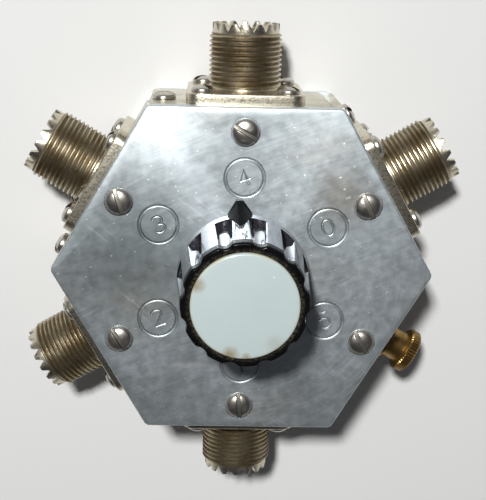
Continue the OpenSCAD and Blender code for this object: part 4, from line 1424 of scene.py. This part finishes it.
@dataclass(frozen=True)
class Fasteners:
    """Slotted screws: round heads in front and on the sides, sunk heads at the back."""

    layout: Layout
    shank_r: float = 1.42
    tail: float = 1.0
    flange_tail: float = 2.9
    face_head_r: float = 2.85
    face_head_h: float = 1.6
    face_sunk: float = 0.3
    round_head_r: float = 2.5
    round_head_h: float = 1.6
    head_side: float = 0.5
    slot_w: float = 1.02
    slot_depth: float = 0.9
    edge: float = 0.07
    plate_screw_in: float = 5.2
    corner_in: float = 3.2
    corner_drop: float = 8.6
    wall_t: float = 2.0
    flange_t: float = 2.2
    hole_pitch: float = 18.26
    sunk_head_r: float = 2.75
    sunk_below: float = 0.1
    sunk_rim: float = 0.15
    sunk_end: float = 5.0
    slot_spread: float = 47.0
    face_slots: tuple[float, ...] = (-30, -72, -57, -86, -60, -64)

    def build(self, dresser: Dresser) -> None:
        """Model one screw of each kind, copy it to its places and dress each set.

        Args:
            dresser: Gives the screws their finish.
        """
        plate_t = self.layout.face_z - self.layout.plate_z
        length = plate_t - self.face_sunk + self.wall_t + self.tail
        face = self._round_screw(self.face_head_r, self.face_head_h, length)
        self._spread(dresser, "face_screws", face, self._face_places())
        length = 2 * self.wall_t + self.tail
        corner = self._round_screw(self.round_head_r, self.round_head_h, length)
        self._spread(dresser, "corner_screws", corner, self._corner_places())
        length = self.flange_t + self.wall_t + self.flange_tail
        flange = self._round_screw(self.round_head_r, self.round_head_h, length)
        self._spread(dresser, "flange_screws", flange, self._flange_places())
        self._spread(dresser, "back_screws", self._sunk_screw(), self._back_places())

    def _round_screw(self, head_r: float, head_h: float, length: float) -> Object:
        """Screw with a round head, its seat at z = 0 and its thread going down.

        Args:
            head_r: Radius of the head.
            head_h: Height of the head.
            length: Length under the head.

        Returns:
            The screw.
        """
        foot_in, foot_up = 0.1, 0.12
        dome = arc((0, self.head_side), (head_r, head_h - self.head_side), 0, 90, 12)
        profile = [(self.shank_r, -length), (self.shank_r, 0), (head_r - foot_in, 0),
                   (head_r, foot_up), *dome[:-1], (0.0, head_h)]
        screw = turned("round_screw", profile, steps=48)
        return self._slotted(screw, head_r, head_h - self.slot_depth, head_h + OVER)

    def _slotted(self, screw: Object, head_r: float, low: float, high: float) -> Object:
        """Screw with a slot cut between two heights, its edges eased.

        Args:
            screw: The screw, without its slot.
            head_r: Radius of its head.
            low: Height at which the slot begins.
            high: Height at which it ends.

        Returns:
            The screw.
        """
        size = (4 * head_r, self.slot_w, high - low)
        cut(screw, block("slot_cutter", (0, 0, (high + low) / 2), size))
        ease_edges(screw, self.edge, angle=40)
        smooth(screw, 35)
        return screw

    def _sunk_screw(self) -> Object:
        """Countersunk screw that points up, its head at the back.

        Returns:
            The screw.
        """
        head_h = self.sunk_head_r - self.shank_r
        low = self.sunk_below
        profile = [(self.sunk_head_r - self.sunk_rim, low), (self.sunk_head_r, low + self.sunk_rim),
                   (self.shank_r, low + head_h), (self.shank_r, self.sunk_end)]
        screw = turned("sunk_screw", profile, steps=48)
        deep = low + head_h / 2
        return self._slotted(screw, self.sunk_head_r, -deep, deep)

    @staticmethod
    def _spread(dresser: Dresser, node: str, screw: Object, places: Sequence[Matrix]) -> None:
        """Copy a screw to its places and dress the copies as one piece.

        Args:
            dresser: Gives the piece its finish.
            node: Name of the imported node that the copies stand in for.
            screw: The screw, at the origin. It is thrown away.
            places: Where the copies go.
        """
        remember_place(screw)
        copies = [placed(screw, place) for place in places]
        bpy.data.objects.remove(screw)
        dresser.piece(joined(f"{node}_turned", copies), "housing", "bright_screws", node)

    def _face_places(self) -> list[Matrix]:
        """Places of the screws in the front plate.

        Returns:
            One matrix for each screw, in metres.
        """
        radius = self.layout.flat_r - self.plate_screw_in
        height = self.layout.face_z - self.face_sunk
        places = []
        for side, turn in enumerate(self.face_slots):
            centre = spun(STEP * side) @ Vector((0, radius * MM, height * MM))
            places.append(Matrix.Translation(centre) @ spun(math.radians(turn)))
        return places

    def _back_places(self) -> list[Matrix]:
        """Places of the screws in the back cover."""
        radius = self.layout.flat_r - self.plate_screw_in
        return [spun(STEP * side) @ moved(0, radius, 0) for side in range(SIDES)]

    def _corner_places(self) -> list[Matrix]:
        """Places of the screws that hold one wall to the next.

        Returns:
            One matrix for each screw, in metres.
        """
        across = self.corner_in - self.layout.flat_r * math.tan(STEP / 2)
        height = self.layout.plate_z - self.corner_drop
        turns = [math.radians(self.slot_spread * side) for side in range(SIDES)]
        return [self.layout.outwards(side, height) @ moved(across, 0, 0) @ spun(turn)
                for side, turn in enumerate(turns)]

    def _flange_places(self) -> list[Matrix]:
        """Places of the screws in the sockets' flanges.

        Returns:
            One matrix for each screw, in metres.
        """
        half = self.hole_pitch / 2
        corners = [(side, x, z) for side in SOCKET_SIDES for x in (-1, 1) for z in (-1, 1)]
        places = []
        for side, x, z in corners:
            turn = math.radians(self.slot_spread * (4 * side + 2 * x + z))
            corner = moved(x * half, -z * half, self.flange_t)
            places.append(self.layout.outwards(side) @ corner @ spun(turn))
        return places


@dataclass(frozen=True)
class Sockets:
    """Five threaded sockets: flange, coupling thread and crown, modelled once and copied."""

    layout: Layout
    steps: int = 96
    shoulder_r: float = 6.5
    shoulder_l: float = 3.4
    flange_w: float = 25.4
    flange_t: float = 2.2
    flange_corner_r: float = 3.0
    flange_edge: float = 0.35
    hole_pitch: float = 18.26
    hole_r: float = 1.62
    neck_r: float = 7.29
    thread_r: float = 7.9375
    root_r: float = 7.32
    pitch: float = 1.0583
    thread_from: float = 2.7
    crown_from: float = 14.2
    crown_r: float = 7.3
    tip: float = 16.3
    bore_r: float = 6.2
    rear_bore_r: float = 5.04
    bore_from: float = 6.0
    teeth: int = 16
    notch: float = 1.6
    notch_w: float = 2.0
    tooth_edge: float = 0.09

    def build(self, dresser: Dresser) -> None:
        """Model one shell, copy it to each side and dress the copies.

        Args:
            dresser: Gives the shells their finish.
        """
        shell = self._barrel()
        cut(shell, self._flange(), Join.WITH)
        tools = [self._notch(index) for index in range(self.teeth)]
        tools += self._holes() + [self._groove()]
        cut(shell, joined("shell_cutters", tools))
        self._ease_crown(shell)
        smooth(shell, 32)
        remember_place(shell)
        for side in SOCKET_SIDES:
            name = SIDE_NAMES[side]
            copy = placed(shell, self.layout.outwards(side), f"socket_{name}_threaded")
            dresser.piece(copy, "housing", "socket_nickel", f"socket_{name}_shell")
        bpy.data.objects.remove(shell)

    def _barrel(self) -> Object:
        """Turned body with its bores, without its thread.

        Returns:
            The barrel, standing on the wall's face.
        """
        lead, lip, chamfer, crown_edge = 0.45, 0.15, 0.2, 0.08
        mouth_in, mouth_down = 0.12, 0.2
        profile = [
            (self.rear_bore_r, -self.shoulder_l), (self.shoulder_r - lip, -self.shoulder_l),
            (self.shoulder_r, -self.shoulder_l + lip), (self.shoulder_r, self.flange_t / 2),
            (self.neck_r, self.flange_t / 2), (self.neck_r, self.thread_from),
            (self.thread_r - chamfer, self.thread_from),
            (self.thread_r, self.thread_from + chamfer),
            (self.thread_r, self.crown_from - lead), (self.crown_r, self.crown_from),
            (self.crown_r, self.tip - crown_edge), (self.crown_r - crown_edge, self.tip),
            (self.bore_r + mouth_in, self.tip), (self.bore_r, self.tip - mouth_down),
            (self.bore_r, self.bore_from), (self.rear_bore_r, self.bore_from),
            (self.rear_bore_r, -self.shoulder_l),
        ]
        return turned("shell", profile, steps=self.steps, ring=True)

    def _flange(self) -> Object:
        """Square flange with round corners and eased edges.

        Returns:
            The flange, open in the middle.
        """
        half = self.flange_w / 2 - self.flange_corner_r
        size = (self.flange_corner_r, self.flange_corner_r)
        outline = []
        corners = ((half, half), (-half, half), (-half, -half), (half, -half))
        for index, corner in enumerate(corners):
            outline += arc(corner, size, 90 * index, 90 * index + 90, 10)
        flange = prism("flange", outline, 0, self.flange_t)
        with editing(flange):
            pick(Kind.EDGE, above(self.flange_t * MM - HAIR))
            bevel_picked(self.flange_edge, 3)
        inside_r = self.shoulder_r - 0.3
        centre = [(inside_r, -OVER), (inside_r, self.flange_t + OVER)]
        cut(flange, turned("flange_cutter", centre, steps=self.steps))
        return flange

    def _holes(self) -> list[Object]:
        """Cutters of the four screw holes.

        Returns:
            The cutters, in their places.
        """
        half = self.hole_pitch / 2
        profile = [(self.hole_r, -OVER), (self.hole_r, self.flange_t + OVER)]
        hole = turned("hole_cutter", profile, steps=32)
        holes = [placed(hole, moved(x * half, y * half, 0)) for x in (-1, 1) for y in (-1, 1)]
        bpy.data.objects.remove(hole)
        return holes

    def _notch(self, index: int) -> Object:
        """Wedge that cuts one notch between two teeth of the crown.

        Args:
            index: Number of the notch.

        Returns:
            The cutter, in its place.
        """
        over, foot_half = 0.1, 0.06
        half = self.notch_w / 2 * (1 + over / self.notch)
        inner, outer = self.bore_r - 0.25, self.crown_r + 0.3
        top, foot = self.tip + over, self.tip - self.notch
        outline = [(half, top), (-half, top), (-foot_half, foot), (foot_half, foot)]
        sections = [[(x, y, z) for x, z in outline] for y in (inner, outer)]
        wedge = lofted("notch", sections, ring=False)
        return placed(wedge, spun((index + 0.5) * math.tau / self.teeth), keep=False)

    def _groove(self) -> Object:
        """Helical cutter of the thread, one V swept up the barrel.

        Returns:
            The cutter, with its ends filled.
        """
        over, flat, start_up = 0.04, 0.05, 0.05
        half = 0.44 * self.pitch
        outer = self.thread_r + over
        turns = math.ceil((self.crown_from - self.thread_from) / self.pitch)
        take()
        bpy.ops.mesh.primitive_circle_add(vertices=4, radius=1)
        groove = settled("groove")
        corners = ((outer, -half), (self.root_r, -flat), (self.root_r, flat), (outer, half))
        with editing(groove) as mesh:
            for vert, (radius, height) in zip(mesh.verts, corners):
                vert.co = Vector((radius, 0, self.thread_from + start_up + height)) * MM
        take(groove)
        screw = groove.modifiers.new("thread", "SCREW")
        screw.angle = math.tau
        screw.screw_offset = self.pitch * MM
        screw.steps = self.steps
        screw.render_steps = self.steps
        screw.iterations = turns
        screw.use_merge_vertices = False
        bpy.ops.object.modifier_apply(modifier=screw.name)
        with editing(groove):
            pick(Kind.EDGE, lambda edge: edge.is_boundary)
            bpy.ops.mesh.fill()
            close_up()
        return groove

    def _ease_crown(self, shell: Object) -> None:
        """Round the crown's worn teeth.

        Args:
            shell: The shell, with its notches cut.
        """
        over_foot, sharp = 0.1, math.radians(35)
        on_crown = above((self.tip - self.notch + over_foot) * MM)
        with editing(shell):
            pick(Kind.EDGE, lambda edge: on_crown(edge)
                 and edge.is_manifold and edge.calc_face_angle(0.0) > sharp)
            bpy.ops.mesh.bevel(
                offset=self.tooth_edge * MM, segments=2, affect="EDGES", clamp_overlap=True)


@dataclass(frozen=True)
class GroundTerminal:
    """Ground terminal's knurled thumb nut."""

    layout: Layout
    bore_r: float = 2.13
    collar_r: float = 3.6
    rim_r: float = 5.1
    start: float = 4.6
    rim_from: float = 8.6
    end: float = 11.0
    rim_bevel: float = 0.35
    grooves: int = 44
    points_each: int = 4
    groove_depth: float = 0.28

    def build(self, dresser: Dresser) -> None:
        """Model the thumb nut and dress it.

        Args:
            dresser: Gives the nut its finish.
        """
        inner = self.rim_r - self.rim_bevel
        chamfer, edge, neck, land, dish, mouth = 0.15, 0.2, 0.25, 0.3, 0.12, 0.35
        profile = [
            (self.bore_r, self.start + chamfer), (self.bore_r + chamfer, self.start),
            (self.collar_r - edge, self.start), (self.collar_r, self.start + edge),
            (self.collar_r, self.rim_from - neck), (self.collar_r + neck, self.rim_from),
            (inner, self.rim_from), (self.rim_r, self.rim_from + self.rim_bevel),
            (self.rim_r, self.end - self.rim_bevel), (inner, self.end),
            (self.collar_r + land, self.end), (self.collar_r, self.end - dish),
            (self.bore_r + mouth, self.end - dish), (self.bore_r, self.end - mouth),
            (self.bore_r, self.start + chamfer),
        ]
        nut = turned("thumb_nut_knurled", profile, steps=self.grooves * self.points_each, ring=True)
        self._knurl(nut)
        smooth(nut, 30)
        placed_nut = placed(nut, self.layout.outwards(GROUND), keep=False)
        dresser.piece(placed_nut, "thumb_nut", "terminal_brass", "thumb_nut")

    def _knurl(self, nut: Object) -> None:
        """Press one point in every few of the rim inwards.

        Args:
            nut: The nut, turned with as many points as the grooves need.
        """
        count = self.grooves * self.points_each
        low = (self.rim_r - self.rim_bevel / 2) * MM

        def in_groove(vert: Any) -> bool:
            """Whether a point of the rim lies at the bottom of a groove."""
            place = round(math.atan2(vert.co.y, vert.co.x) / math.tau * count)
            return place % self.points_each == 0 and vert.co.xy.length > low

        with editing(nut):
            pick(Kind.VERT, in_groove)
            share = 1 - self.groove_depth / self.rim_r
            bpy.ops.transform.resize(value=(share, share, 1), center_override=(0, 0, 0))


@dataclass(frozen=True)
class FlutedSection:
    """Outline of the knob at one height: lands on a circle, round flutes, eased edges."""

    land_r: float
    axis_r: float
    flute_r: float
    fillet: float
    flutes: int = 12
    land_steps: int = 6
    fillet_steps: int = 4
    flute_steps: int = 12

    def points(self, height: float, fluted: bool = True) -> list[Triple]:
        """Points of the outline, counter-clockwise, from the middle of the land at +X.

        Args:
            height: Height that the points get.
            fluted: Otherwise they lie on a plain circle, as many between the lands.

        Returns:
            The points.
        """
        sector = math.tau / self.flutes
        centre_r = self.land_r - self.fillet
        gap = self.flute_r + self.fillet
        swing = math.acos(
            (centre_r ** 2 + self.axis_r ** 2 - gap ** 2) / (2 * centre_r * self.axis_r))
        half_land = sector / 2 - swing
        land = arc((0, 0), (self.land_r, self.land_r), math.degrees(-sector / 2 - half_land),
                   math.degrees(-sector / 2 + half_land), self.land_steps)
        between = self._flute(swing) if fluted else self._plain(swing)
        outline: list[Flat] = []
        for flute in range(self.flutes):
            middle = (flute + 0.5) * sector
            outline += self._turned(land, middle)
            outline += self._turned(between, middle)
        return [(x, y, height) for x, y in outline]

    def _flute(self, swing: float) -> list[Flat]:
        """Fillet, flute and fillet round the +X axis, without the ends that lie on the lands.

        Args:
            swing: Angle from the flute's middle to where its rounding meets the land, in radians.

        Returns:
            The points, counter-clockwise.
        """
        centre_r = self.land_r - self.fillet
        eased = (centre_r * math.cos(swing), centre_r * math.sin(swing))
        lean = math.degrees(math.atan2(eased[1], eased[0] - self.axis_r))
        near = arc((eased[0], -eased[1]), (self.fillet, self.fillet),
                   -math.degrees(swing), 180 - lean, self.fillet_steps)
        flute = arc((self.axis_r, 0), (self.flute_r, self.flute_r),
                    360 - lean, lean, self.flute_steps)
        far = [(x, -y) for x, y in reversed(near)]
        return near[1:] + flute[1:-1] + far[:-1]

    def _plain(self, swing: float) -> list[Flat]:
        """As many points on the plain circle between the same ends.

        Args:
            swing: Angle from the flute's middle to where its rounding meets the land, in radians.

        Returns:
            The points, counter-clockwise.
        """
        steps = 2 * self.fillet_steps + self.flute_steps
        edge = math.degrees(swing)
        return arc((0, 0), (self.land_r, self.land_r), -edge, edge, steps)[1:-1]

    @staticmethod
    def _turned(points: Profile, turn: float) -> list[Flat]:
        """Points turned round the origin."""
        cosine, sine = math.cos(turn), math.sin(turn)
        return [(x * cosine - y * sine, x * sine + y * cosine) for x, y in points]

    def circle(self, radius: float, height: float) -> list[Triple]:
        """As many points on a circle of any radius, at the places of the plain outline."""
        share = radius / self.land_r
        return [(x * share, y * share, z) for x, y, z in self.points(height, fluted=False)]


@dataclass(frozen=True)
class Knob:
    """Fluted knob: bright band, black rim and pointer, pale cap."""

    layout: Layout
    clocking: float = 3.7
    foot_r: float = 14.1
    rim_r: float = 12.8
    height: float = 19.5
    band_h: float = 17.2
    flute_r: float = 2.0
    flute_depth: float = 1.4
    flute_lean: float = 1.2
    flute_start: float = 3.0
    fillet: float = 0.35
    rim_fillet: float = 0.9
    core_r: float = 10.6
    bore_r: float = 10.64
    foot_disc_r: float = 12.3
    foot_disc_h: float = 1.5
    recess_r: float = 8.2
    recess_h: float = 3.6
    insert_r: float = 5.54
    insert_top: float = 14.8
    cap_r: float = 10.85
    cap_seat_h: float = 17.5
    cap_rise: float = 1.1
    cap_dome_r: float = 120.0
    cap_edge_r: float = 0.5
    cap_gap: float = 0.05
    set_screw_h: float = 8.2
    set_screw_r: float = 2.2
    tip_r: float = 17.1
    tip_w: float = 1.4
    tip_lean: float = 0.3
    tip_top_w: float = 1.0
    ridge_w: float = 0.6
    ridge_depth: float = 2.0
    cone_gap: float = 0.04
    pointer_w: float = 5.2
    pointer_climb: float = 8.5

    def build(self, dresser: Dresser) -> None:
        """Model the four pieces and dress them.

        Args:
            dresser: Gives the pieces their finish.
        """
        place = spun(math.radians(self.clocking)) @ moved(0, 0, self.layout.knob_z)
        pieces = (
            (self._band(), "knob_chrome", "knob_band"),
            (self._body(), "knob_black", "knob_body"),
            (self._pointer(), "knob_black", "knob_pointer"),
            (self._cap(), "knob_cap_grey", "knob_cap"),
        )
        for piece, slot, node in pieces:
            dresser.piece(placed(piece, place, keep=False), "knob", slot, node)

    def _cone(self, height: float) -> float:
        """Radius of the knob's outside at a height above its foot."""
        return self.foot_r + (self.rim_r - self.foot_r) * height / self.height

    def _section(self, height: float, inset: float = 0.0, soft: bool = False) -> FlutedSection:
        """Outline of the knob at a height.

        Args:
            height: Height above the foot.
            inset: How far the outline is drawn in, for a rounded edge.
            soft: The lands have the rim's wider rounding.

        Returns:
            The outline.
        """
        first_axis = self._cone(self.flute_start) - self.flute_depth + self.flute_r
        lean = math.tan(math.radians(self.flute_lean)) * (height - self.flute_start)
        least = 0.05
        fillet = max((self.rim_fillet if soft else self.fillet) - inset, least)
        land_r = self._cone(height) - inset
        return FlutedSection(land_r, first_axis - lean, self.flute_r + inset, fillet)

    def _band(self) -> Object:
        """Bright band with flutes that begin at a flat step.

        Returns:
            The band, its foot at z = 0.
        """
        base = self._section(self.flute_start)
        edge, toe, top_edge, steps = 0.25, 0.07, 0.1, 8
        rings = [base.circle(self.bore_r, edge), base.circle(self.bore_r + edge, 0.0)]
        rings += [base.circle(self._cone(0) - edge, 0.0), base.circle(self._cone(toe) - toe, toe)]
        for level in (edge, 1.0, 2.0, self.flute_start):
            rings.append(self._section(level).circle(self._cone(level), level))
        fluted_h = self.band_h - top_edge - self.flute_start
        levels = [self.flute_start + fluted_h * step / steps for step in range(steps + 1)]
        rings += [self._section(level).points(level) for level in levels]
        rings.append(self._section(self.band_h, top_edge).points(self.band_h))
        rings += [base.circle(self.bore_r, self.band_h), base.circle(self.bore_r, edge)]
        band = lofted("knob_band_bright", rings, ring=True)
        self._turn_pointer_side(band)
        cut(band, self._set_screw_cutter())
        smooth(band, 34)
        return band

    def _set_screw_cutter(self) -> Object:
        """Radial cutter of the set screw's hole, opposite the pointer.

        Returns:
            The cutter, in its place.
        """
        profile = [(self.set_screw_r, self.insert_r), (self.set_screw_r, self.foot_r + OVER)]
        cutter = turned("set_screw_cutter", profile, 40)
        turn = Matrix.Rotation(math.pi / 2, 4, "X")
        return placed(cutter, moved(0, 0, self.set_screw_h) @ turn, keep=False)

    @staticmethod
    def _turn_pointer_side(piece: Object) -> None:
        """Turn a lofted piece so that the middle of a land points at +Y."""
        placed(piece, spun(math.pi / 2), keep=False)

    def _body(self) -> Object:
        """Black core and scalloped rim, open at the foot and seated for the cap.

        Returns:
            The body, its foot at z = 0.
        """
        base = self._section(self.band_h)
        rings = [base.circle(radius, level) for radius, level in (
            (self.insert_r, self.insert_top), (self.insert_r, self.recess_h),
            (self.recess_r, self.recess_h), (self.recess_r, self.foot_disc_h),
            (self.core_r, self.foot_disc_h), (self.core_r, self.band_h))]
        lip, seam, edge, steps = 0.12, 0.15, 0.5, 5
        for level, inset in ((self.band_h, lip), (self.band_h + seam, 0.0)):
            rings.append(self._section(level, inset, soft=True).points(level))
        for step in range(steps + 1):
            angle = math.radians(90 * step / steps)
            level = self.height - edge + edge * math.sin(angle)
            inset = edge * (1 - math.cos(angle))
            rings.append(self._section(level, inset, soft=True).points(level))
        seat_r = self.cap_r + self.cap_gap
        rings += [base.circle(seat_r + lip, self.height), base.circle(seat_r, self.height - lip),
                  base.circle(seat_r, self.cap_seat_h)]
        body = lofted("knob_body_black", rings, ring=False)
        self._turn_pointer_side(body)
        cut(body, self._set_screw_cutter())
        smooth(body, 36)
        return body

    def _pointer(self) -> Object:
        """Foot disc and the wedge that climbs the band.

        Returns:
            The foot disc with the pointer, which points at +Y.
        """
        edge = 0.2
        wedge = self._wedge()
        levels = (self.foot_disc_h, self.height)
        cone = [(self._cone(level) + self.cone_gap, level) for level in levels]
        cut(wedge, turned("cone_cutter", cone, steps=160))
        rounded = [
            (self.recess_r, 0.0), (self.foot_disc_r - edge, 0.0), (self.foot_disc_r, edge),
            (self.foot_disc_r, self.foot_disc_h - edge),
            (self.foot_disc_r - edge, self.foot_disc_h),
            (self.recess_r, self.foot_disc_h), (self.recess_r, 0.0),
        ]
        disc = turned("knob_pointer_black", rounded, steps=120, ring=True)
        cut(disc, wedge, Join.WITH)
        ease_edges(disc, 0.12, angle=30)
        smooth(disc, 36)
        return disc

    def _wedge(self) -> Object:
        """Wedge of the pointer, which still reaches into the band.

        Returns:
            The wedge.
        """
        half, tip, proud = self.pointer_w / 2, self.tip_w / 2, 0.05
        wide = self.foot_r + proud
        foot = [(tip, self.tip_r), (-tip, self.tip_r), (-half, wide), (-half, self.core_r),
                (half, self.core_r), (half, wide)]
        tip_top, ridge = self.tip_top_w / 2, self.ridge_w / 2
        tip_r, apex = self.tip_r - self.tip_lean, self._cone(self.pointer_climb)
        nose = [(x, tip_r, self.foot_disc_h) for x in (tip_top, -tip_top)]
        deep = apex - self.ridge_depth
        back = [(x, y, self.pointer_climb)
                for x, y in ((-ridge, apex), (-ridge, deep), (ridge, deep), (ridge, apex))]
        sole = [(x, y, 0.0) for x, y in foot]
        waist = [(x, y, 0.8 * self.foot_disc_h) for x, y in foot]
        return lofted("pointer_wedge", [sole, waist, nose + back], ring=False)

    def _cap(self) -> Object:
        """Pale cap with a rounded edge and a low dome.

        Returns:
            The cap, at its height above the foot.
        """
        dome_z = self.height + self.cap_rise - self.cap_dome_r
        edge_at = self.cap_r - self.cap_edge_r
        inner_r = self.cap_dome_r - self.cap_edge_r
        edge_z = dome_z + math.sqrt(inner_r ** 2 - edge_at ** 2)
        meet = math.degrees(math.acos(edge_at / inner_r))
        profile = [(self.cap_r, self.cap_seat_h)]
        profile += arc((edge_at, edge_z), (self.cap_edge_r, self.cap_edge_r), 0, meet, 6)
        profile += arc((0, dome_z), (self.cap_dome_r, self.cap_dome_r), meet, 90, 12)[1:-1]
        profile.append((0.0, self.height + self.cap_rise))
        cap = turned("knob_cap_pale", profile, steps=128)
        smooth(cap, 40)
        return cap


# ---------------------------------------------------------------- studio


@dataclass(frozen=True)
class Lamp:
    """Soft rectangular lamp, in metres and watts."""

    name: str
    at: Triple
    width: float
    depth: float
    power: float

    def build(self, aim: Triple) -> None:
        """Add the lamp.

        Args:
            aim: The place that it faces.
        """
        data = bpy.data.lights.new(self.name, "AREA")
        data.shape = "RECTANGLE"
        data.size = self.width
        data.size_y = self.depth
        data.energy = self.power
        lamp = bpy.data.objects.new(self.name, data)
        lamp.location = self.at
        way = Vector(aim) - Vector(self.at)
        lamp.rotation_euler = way.to_track_quat("-Z", "Y").to_euler()
        bpy.context.collection.objects.link(lamp)


@dataclass(frozen=True)
class Studio:
    """Pale floor, soft lamps, plain world and the camera."""

    camera_at: Triple = (-7.436, 66.0, 258.046)
    camera_turn: Triple = (0.26187, 0.02932, -0.02168)
    lens: float = 81.283
    sensor: float = 36.0
    floor_r: float = 2.5
    floor_colour: Colour = rgb(222, 222, 220)
    floor_grain: Colour = rgb(205, 205, 203)
    floor_roughness: float = 0.7
    lamps: tuple[Lamp, ...] = (
        Lamp("key_lamp", (-0.153, 0.396, 0.792), 0.08, 0.08, 8.8),
        Lamp("top_lamp", (-0.1, 0.4, 1.1), 1.1, 0.75, 0.3),
        Lamp("side_lamp", (0.45, -0.6, 0.9), 0.4, 0.4, 0.06),
    )
    aim: Triple = (0, 0, 0.02)
    dim_between: Flat = (0.12, 0.42)
    walls: Colour = (0.33, 0.33, 0.34, 1)
    ceiling: Colour = (0.025, 0.025, 0.03, 1)
    backdrop: Colour = (0.74, 0.74, 0.74, 1)

    def build(self) -> None:
        """Set up everything round the object."""
        self._floor()
        for lamp in self.lamps:
            lamp.build(self.aim)
        self._world()
        self._camera()
        bpy.context.scene.view_settings.view_transform = "Standard"

    def _floor(self) -> None:
        """Plain pale floor with a faint, even grain."""
        take()
        bpy.ops.mesh.primitive_circle_add(vertices=96, radius=self.floor_r, fill_type="NGON")
        floor = settled("floor")
        material = bpy.data.materials.new("floor_paint")
        material.use_nodes = True
        w = Wiring(material.node_tree)
        shader = material.node_tree.nodes["Principled BSDF"]
        shader.inputs["Roughness"].default_value = self.floor_roughness
        grain = w.noise(w.place(), 900.0, 2.0)
        colour = w.mixed(w.times(grain, 0.08), self.floor_colour, self.floor_grain)
        w.feed(shader, "Base Color", colour)
        floor.data.materials.append(material)

    def _world(self) -> None:
        """Studio with pale walls and a dark ceiling, and pale where the camera sees it."""
        world = bpy.data.worlds.new("studio")
        world.use_nodes = True
        bpy.context.scene.world = world
        w = Wiring(world.node_tree)
        back = world.node_tree.nodes["Background"]
        direction = w.add("ShaderNodeTexCoord").outputs["Generated"]
        sky = w.mixed(w.ranged(w.parts(direction)[2], *self.dim_between), self.walls, self.ceiling)
        seen = w.add("ShaderNodeLightPath").outputs["Is Camera Ray"]
        w.feed(back, "Color", w.mixed(seen, sky, self.backdrop))

    def _camera(self) -> None:
        """Camera at the photograph's place, turn and angle of view."""
        data = bpy.data.cameras.new("camera")
        data.sensor_fit = "HORIZONTAL"
        data.sensor_width = self.sensor
        data.lens = self.lens
        data.clip_start = 0.01
        camera = bpy.data.objects.new("camera", data)
        turn = Vector(self.camera_turn)
        seen_from = Matrix.Rotation(turn.length, 3, turn.normalized()).transposed()
        camera.matrix_world = Matrix.LocRotScale(Vector(self.camera_at) * MM, seen_from, None)
        bpy.context.collection.objects.link(camera)
        bpy.context.scene.camera = camera


def write_sizes() -> None:
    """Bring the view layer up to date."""
    bpy.context.view_layer.update()


def main() -> None:
    """Build the studio, the sub-assemblies and their finishes, in order."""
    logging.basicConfig(level=logging.INFO, format="%(message)s")
    layout = Layout.from_frame()
    Studio().build()
    dresser = Dresser()
    dresser.packed()
    for part in (FrontPlate(layout), Sheets(), Fasteners(layout), Sockets(layout),
                 GroundTerminal(layout), Knob(layout)):
        LOG.info("building %s", type(part).__name__)
        part.build(dresser)
    write_sizes()


if __name__ == "__main__":
    main()
